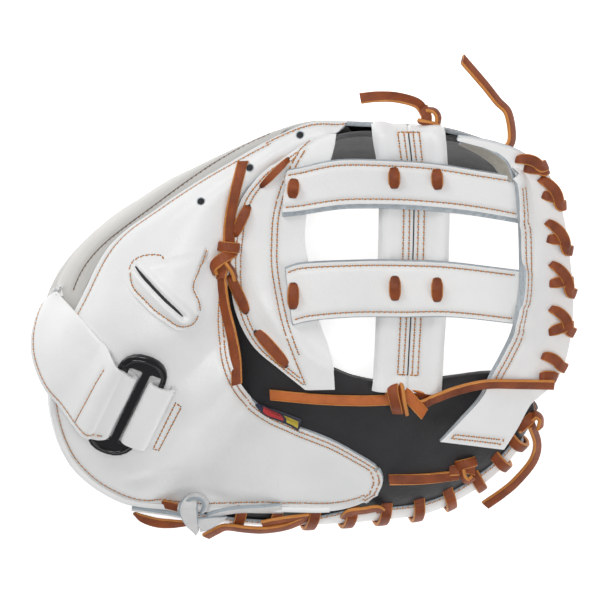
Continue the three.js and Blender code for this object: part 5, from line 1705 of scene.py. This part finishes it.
# %% The white heel lace
HEEL_STRANDS = {  # width, skin, stops
    "heel_end": (6.6, WHITE_LACE, [
        (-102.6, -113.8, 21, 0, -0.97, 0.25), (-91.4, -115.2, 23), (-79.2, -117, 26), (-69, -118.8, 28)]),
    "heel_arm": (7.2, WHITE_LACE, [
        (-56, -118.8, 30, 0, -0.9, 0.45), (-49.5, -116.4, 31), (-42, -114.8, 31),
        (-32.9, -114, 31, 0, -0.9, 0.5), (-22.5, -113.9, 31, 0, -0.8, 0.6),
        (-11, -113.5, 30, 0, -0.6, 0.8)]),
    "heel_fall": (9.6, WHITE_LACE, [
        (-64.8, -106, 36, 0, 0.4, 1), (-66.6, -109.6, 39, 0, 0.1, 1), (-67.8, -114.2, 38, -0.1, -0.3, 1),
        (-66.2, -121.4, 33, -0.1, -0.5, 0.9), (-62.8, -128.6, 25, 0, -0.6, 0.8)]),
    "heel_cross": (8.0, WHITE_LACE, [
        (-45.5, -119.4, 28, 0.1, -0.4, 0.9), (-51.5, -121.2, 30.5), (-57, -122.8, 31.5, 0, -0.4, 0.9),
        (-62, -123.4, 31)]),
    "heel_arch": (5.6, WHITE_LACE, [
        (-73.4, -113.4, 32, -0.6, 0.5, 0.5), (-69.2, -108.6, 37, -0.4, 0.8, 0.5),
        (-64.2, -106, 40, 0, 0.9, 0.5), (-59.8, -106.8, 40, 0.4, 0.8, 0.5),
        (-57.2, -110.8, 38, 0.9, 0.1, 0.5), (-58.4, -114.8, 35, 0.8, -0.5, 0.5)]),
    "heel_lens": (6.0, LACE, [
        (-101, -117, 17, 0, -0.5, 0.8), (-95.9, -120.2, 15), (-87.4, -122.8, 14), (-78.2, -123.4, 15),
        (-68, -123, 19)]),
    "heel_bit": (5.2, LACE, [
        (-83.6, -110.8, 27, 0, -0.3, 1), (-80, -111.6, 29.5), (-76, -112.6, 29.5), (-72.5, -113.4, 28)]),
}
TAPER = {"heel_fall": [0.6, 1.0, 1.2, 0.95, 0.3], "heel_cross": [0.25, 0.75, 1.1, 1.25],
         "heel_lens": [0.3, 0.9, 1.1, 1, 0.5], "heel_end": [0.95, 1, 1, 1]}
white_parts = []
for name, (width, skin, table) in HEEL_STRANDS.items():
    stops, outs = read_stops(table)
    strand = sweep(name, stops, outs, width, TIED_THICK, skin, steps=6, slant=(-0.2, 0.3),
                   swell=TAPER.get(name))
    if skin is WHITE_LACE:
        white_parts.append(strand)
    else:
        finish_piece(strand, "tan_lace")
heel_lacing = join("heel_lacing", white_parts)
finish_piece(heel_lacing, "white_leather", "heel_lace")
print("Heel lace:", len(heel_lacing.data.polygons), "faces")

# %% [markdown]
# The side tab is one short sheet of cloth on the palm's edge. Two rectangles of its UV map are red and
# yellow, the rest stays navy, and two waves across each other make the threads.

# %% The side tab
TAB = [(-27, -49.5, -21, -56.5), (-12, -54, -9, -61.5), (1, -59, -1, -66)]  # ax ay bx by
TAB_THICK = 1.4
TAB_CLOTH, tab_shader = new_material("tab_cloth", Roughness=0.75, Sheen_Weight=0.3)
tab_uv = add_node(TAB_CLOTH, "UVMap").outputs["UV"]
tab_split = add_node(TAB_CLOTH, "SeparateXYZ", Vector=tab_uv)


def block(first, last, low, high):
    """1 inside a rectangle of the tab's UV map"""
    value = 1.0
    for operation, axis, limit in (("GREATER_THAN", "Y", first), ("LESS_THAN", "Y", last),
                                   ("GREATER_THAN", "X", low), ("LESS_THAN", "X", high)):
        test = maths(TAB_CLOTH, operation, tab_split.outputs[axis], limit)
        value = maths(TAB_CLOTH, "MULTIPLY", value, test)
    return value


def waves(direction, scale, distortion):
    """Threads that run one way"""
    return add_node(TAB_CLOTH, "TexWave", {"bands_direction": direction}, Vector=tab_uv, Scale=scale,
                    Distortion=distortion).outputs["Fac"]


threads, cross_threads = waves("Y", 22.0, 1.5), waves("X", 9.0, 1.0)
tab_colour = blend_colour(TAB_CLOTH, threads, (0.012, 0.016, 0.045), (0.02, 0.028, 0.08))
tab_colour = blend_colour(TAB_CLOTH, block(0.08, 0.48, 0.2, 0.8), tab_colour, (0.62, 0.03, 0.035))
tab_colour = blend_colour(TAB_CLOTH, block(0.56, 0.94, 0.2, 0.8), tab_colour, (0.75, 0.58, 0.04))
into(TAB_CLOTH, tab_colour, tab_shader, "Base Color")
bump(TAB_CLOTH, tab_shader, [(threads, 0.15), (cross_threads, 0.12)])
tab_base = section_grid(flat_rows(TAB), 60, 16, None, [palm_tree, back_tree], 0.6)
tab, _ = leather("side_tab_cloth", tab_base, TAB_THICK, uneven=0.2, skins=(TAB_CLOTH,) * 3, round_edge=0.4)
finish_piece(tab, "tab_fabric", "side_tab")
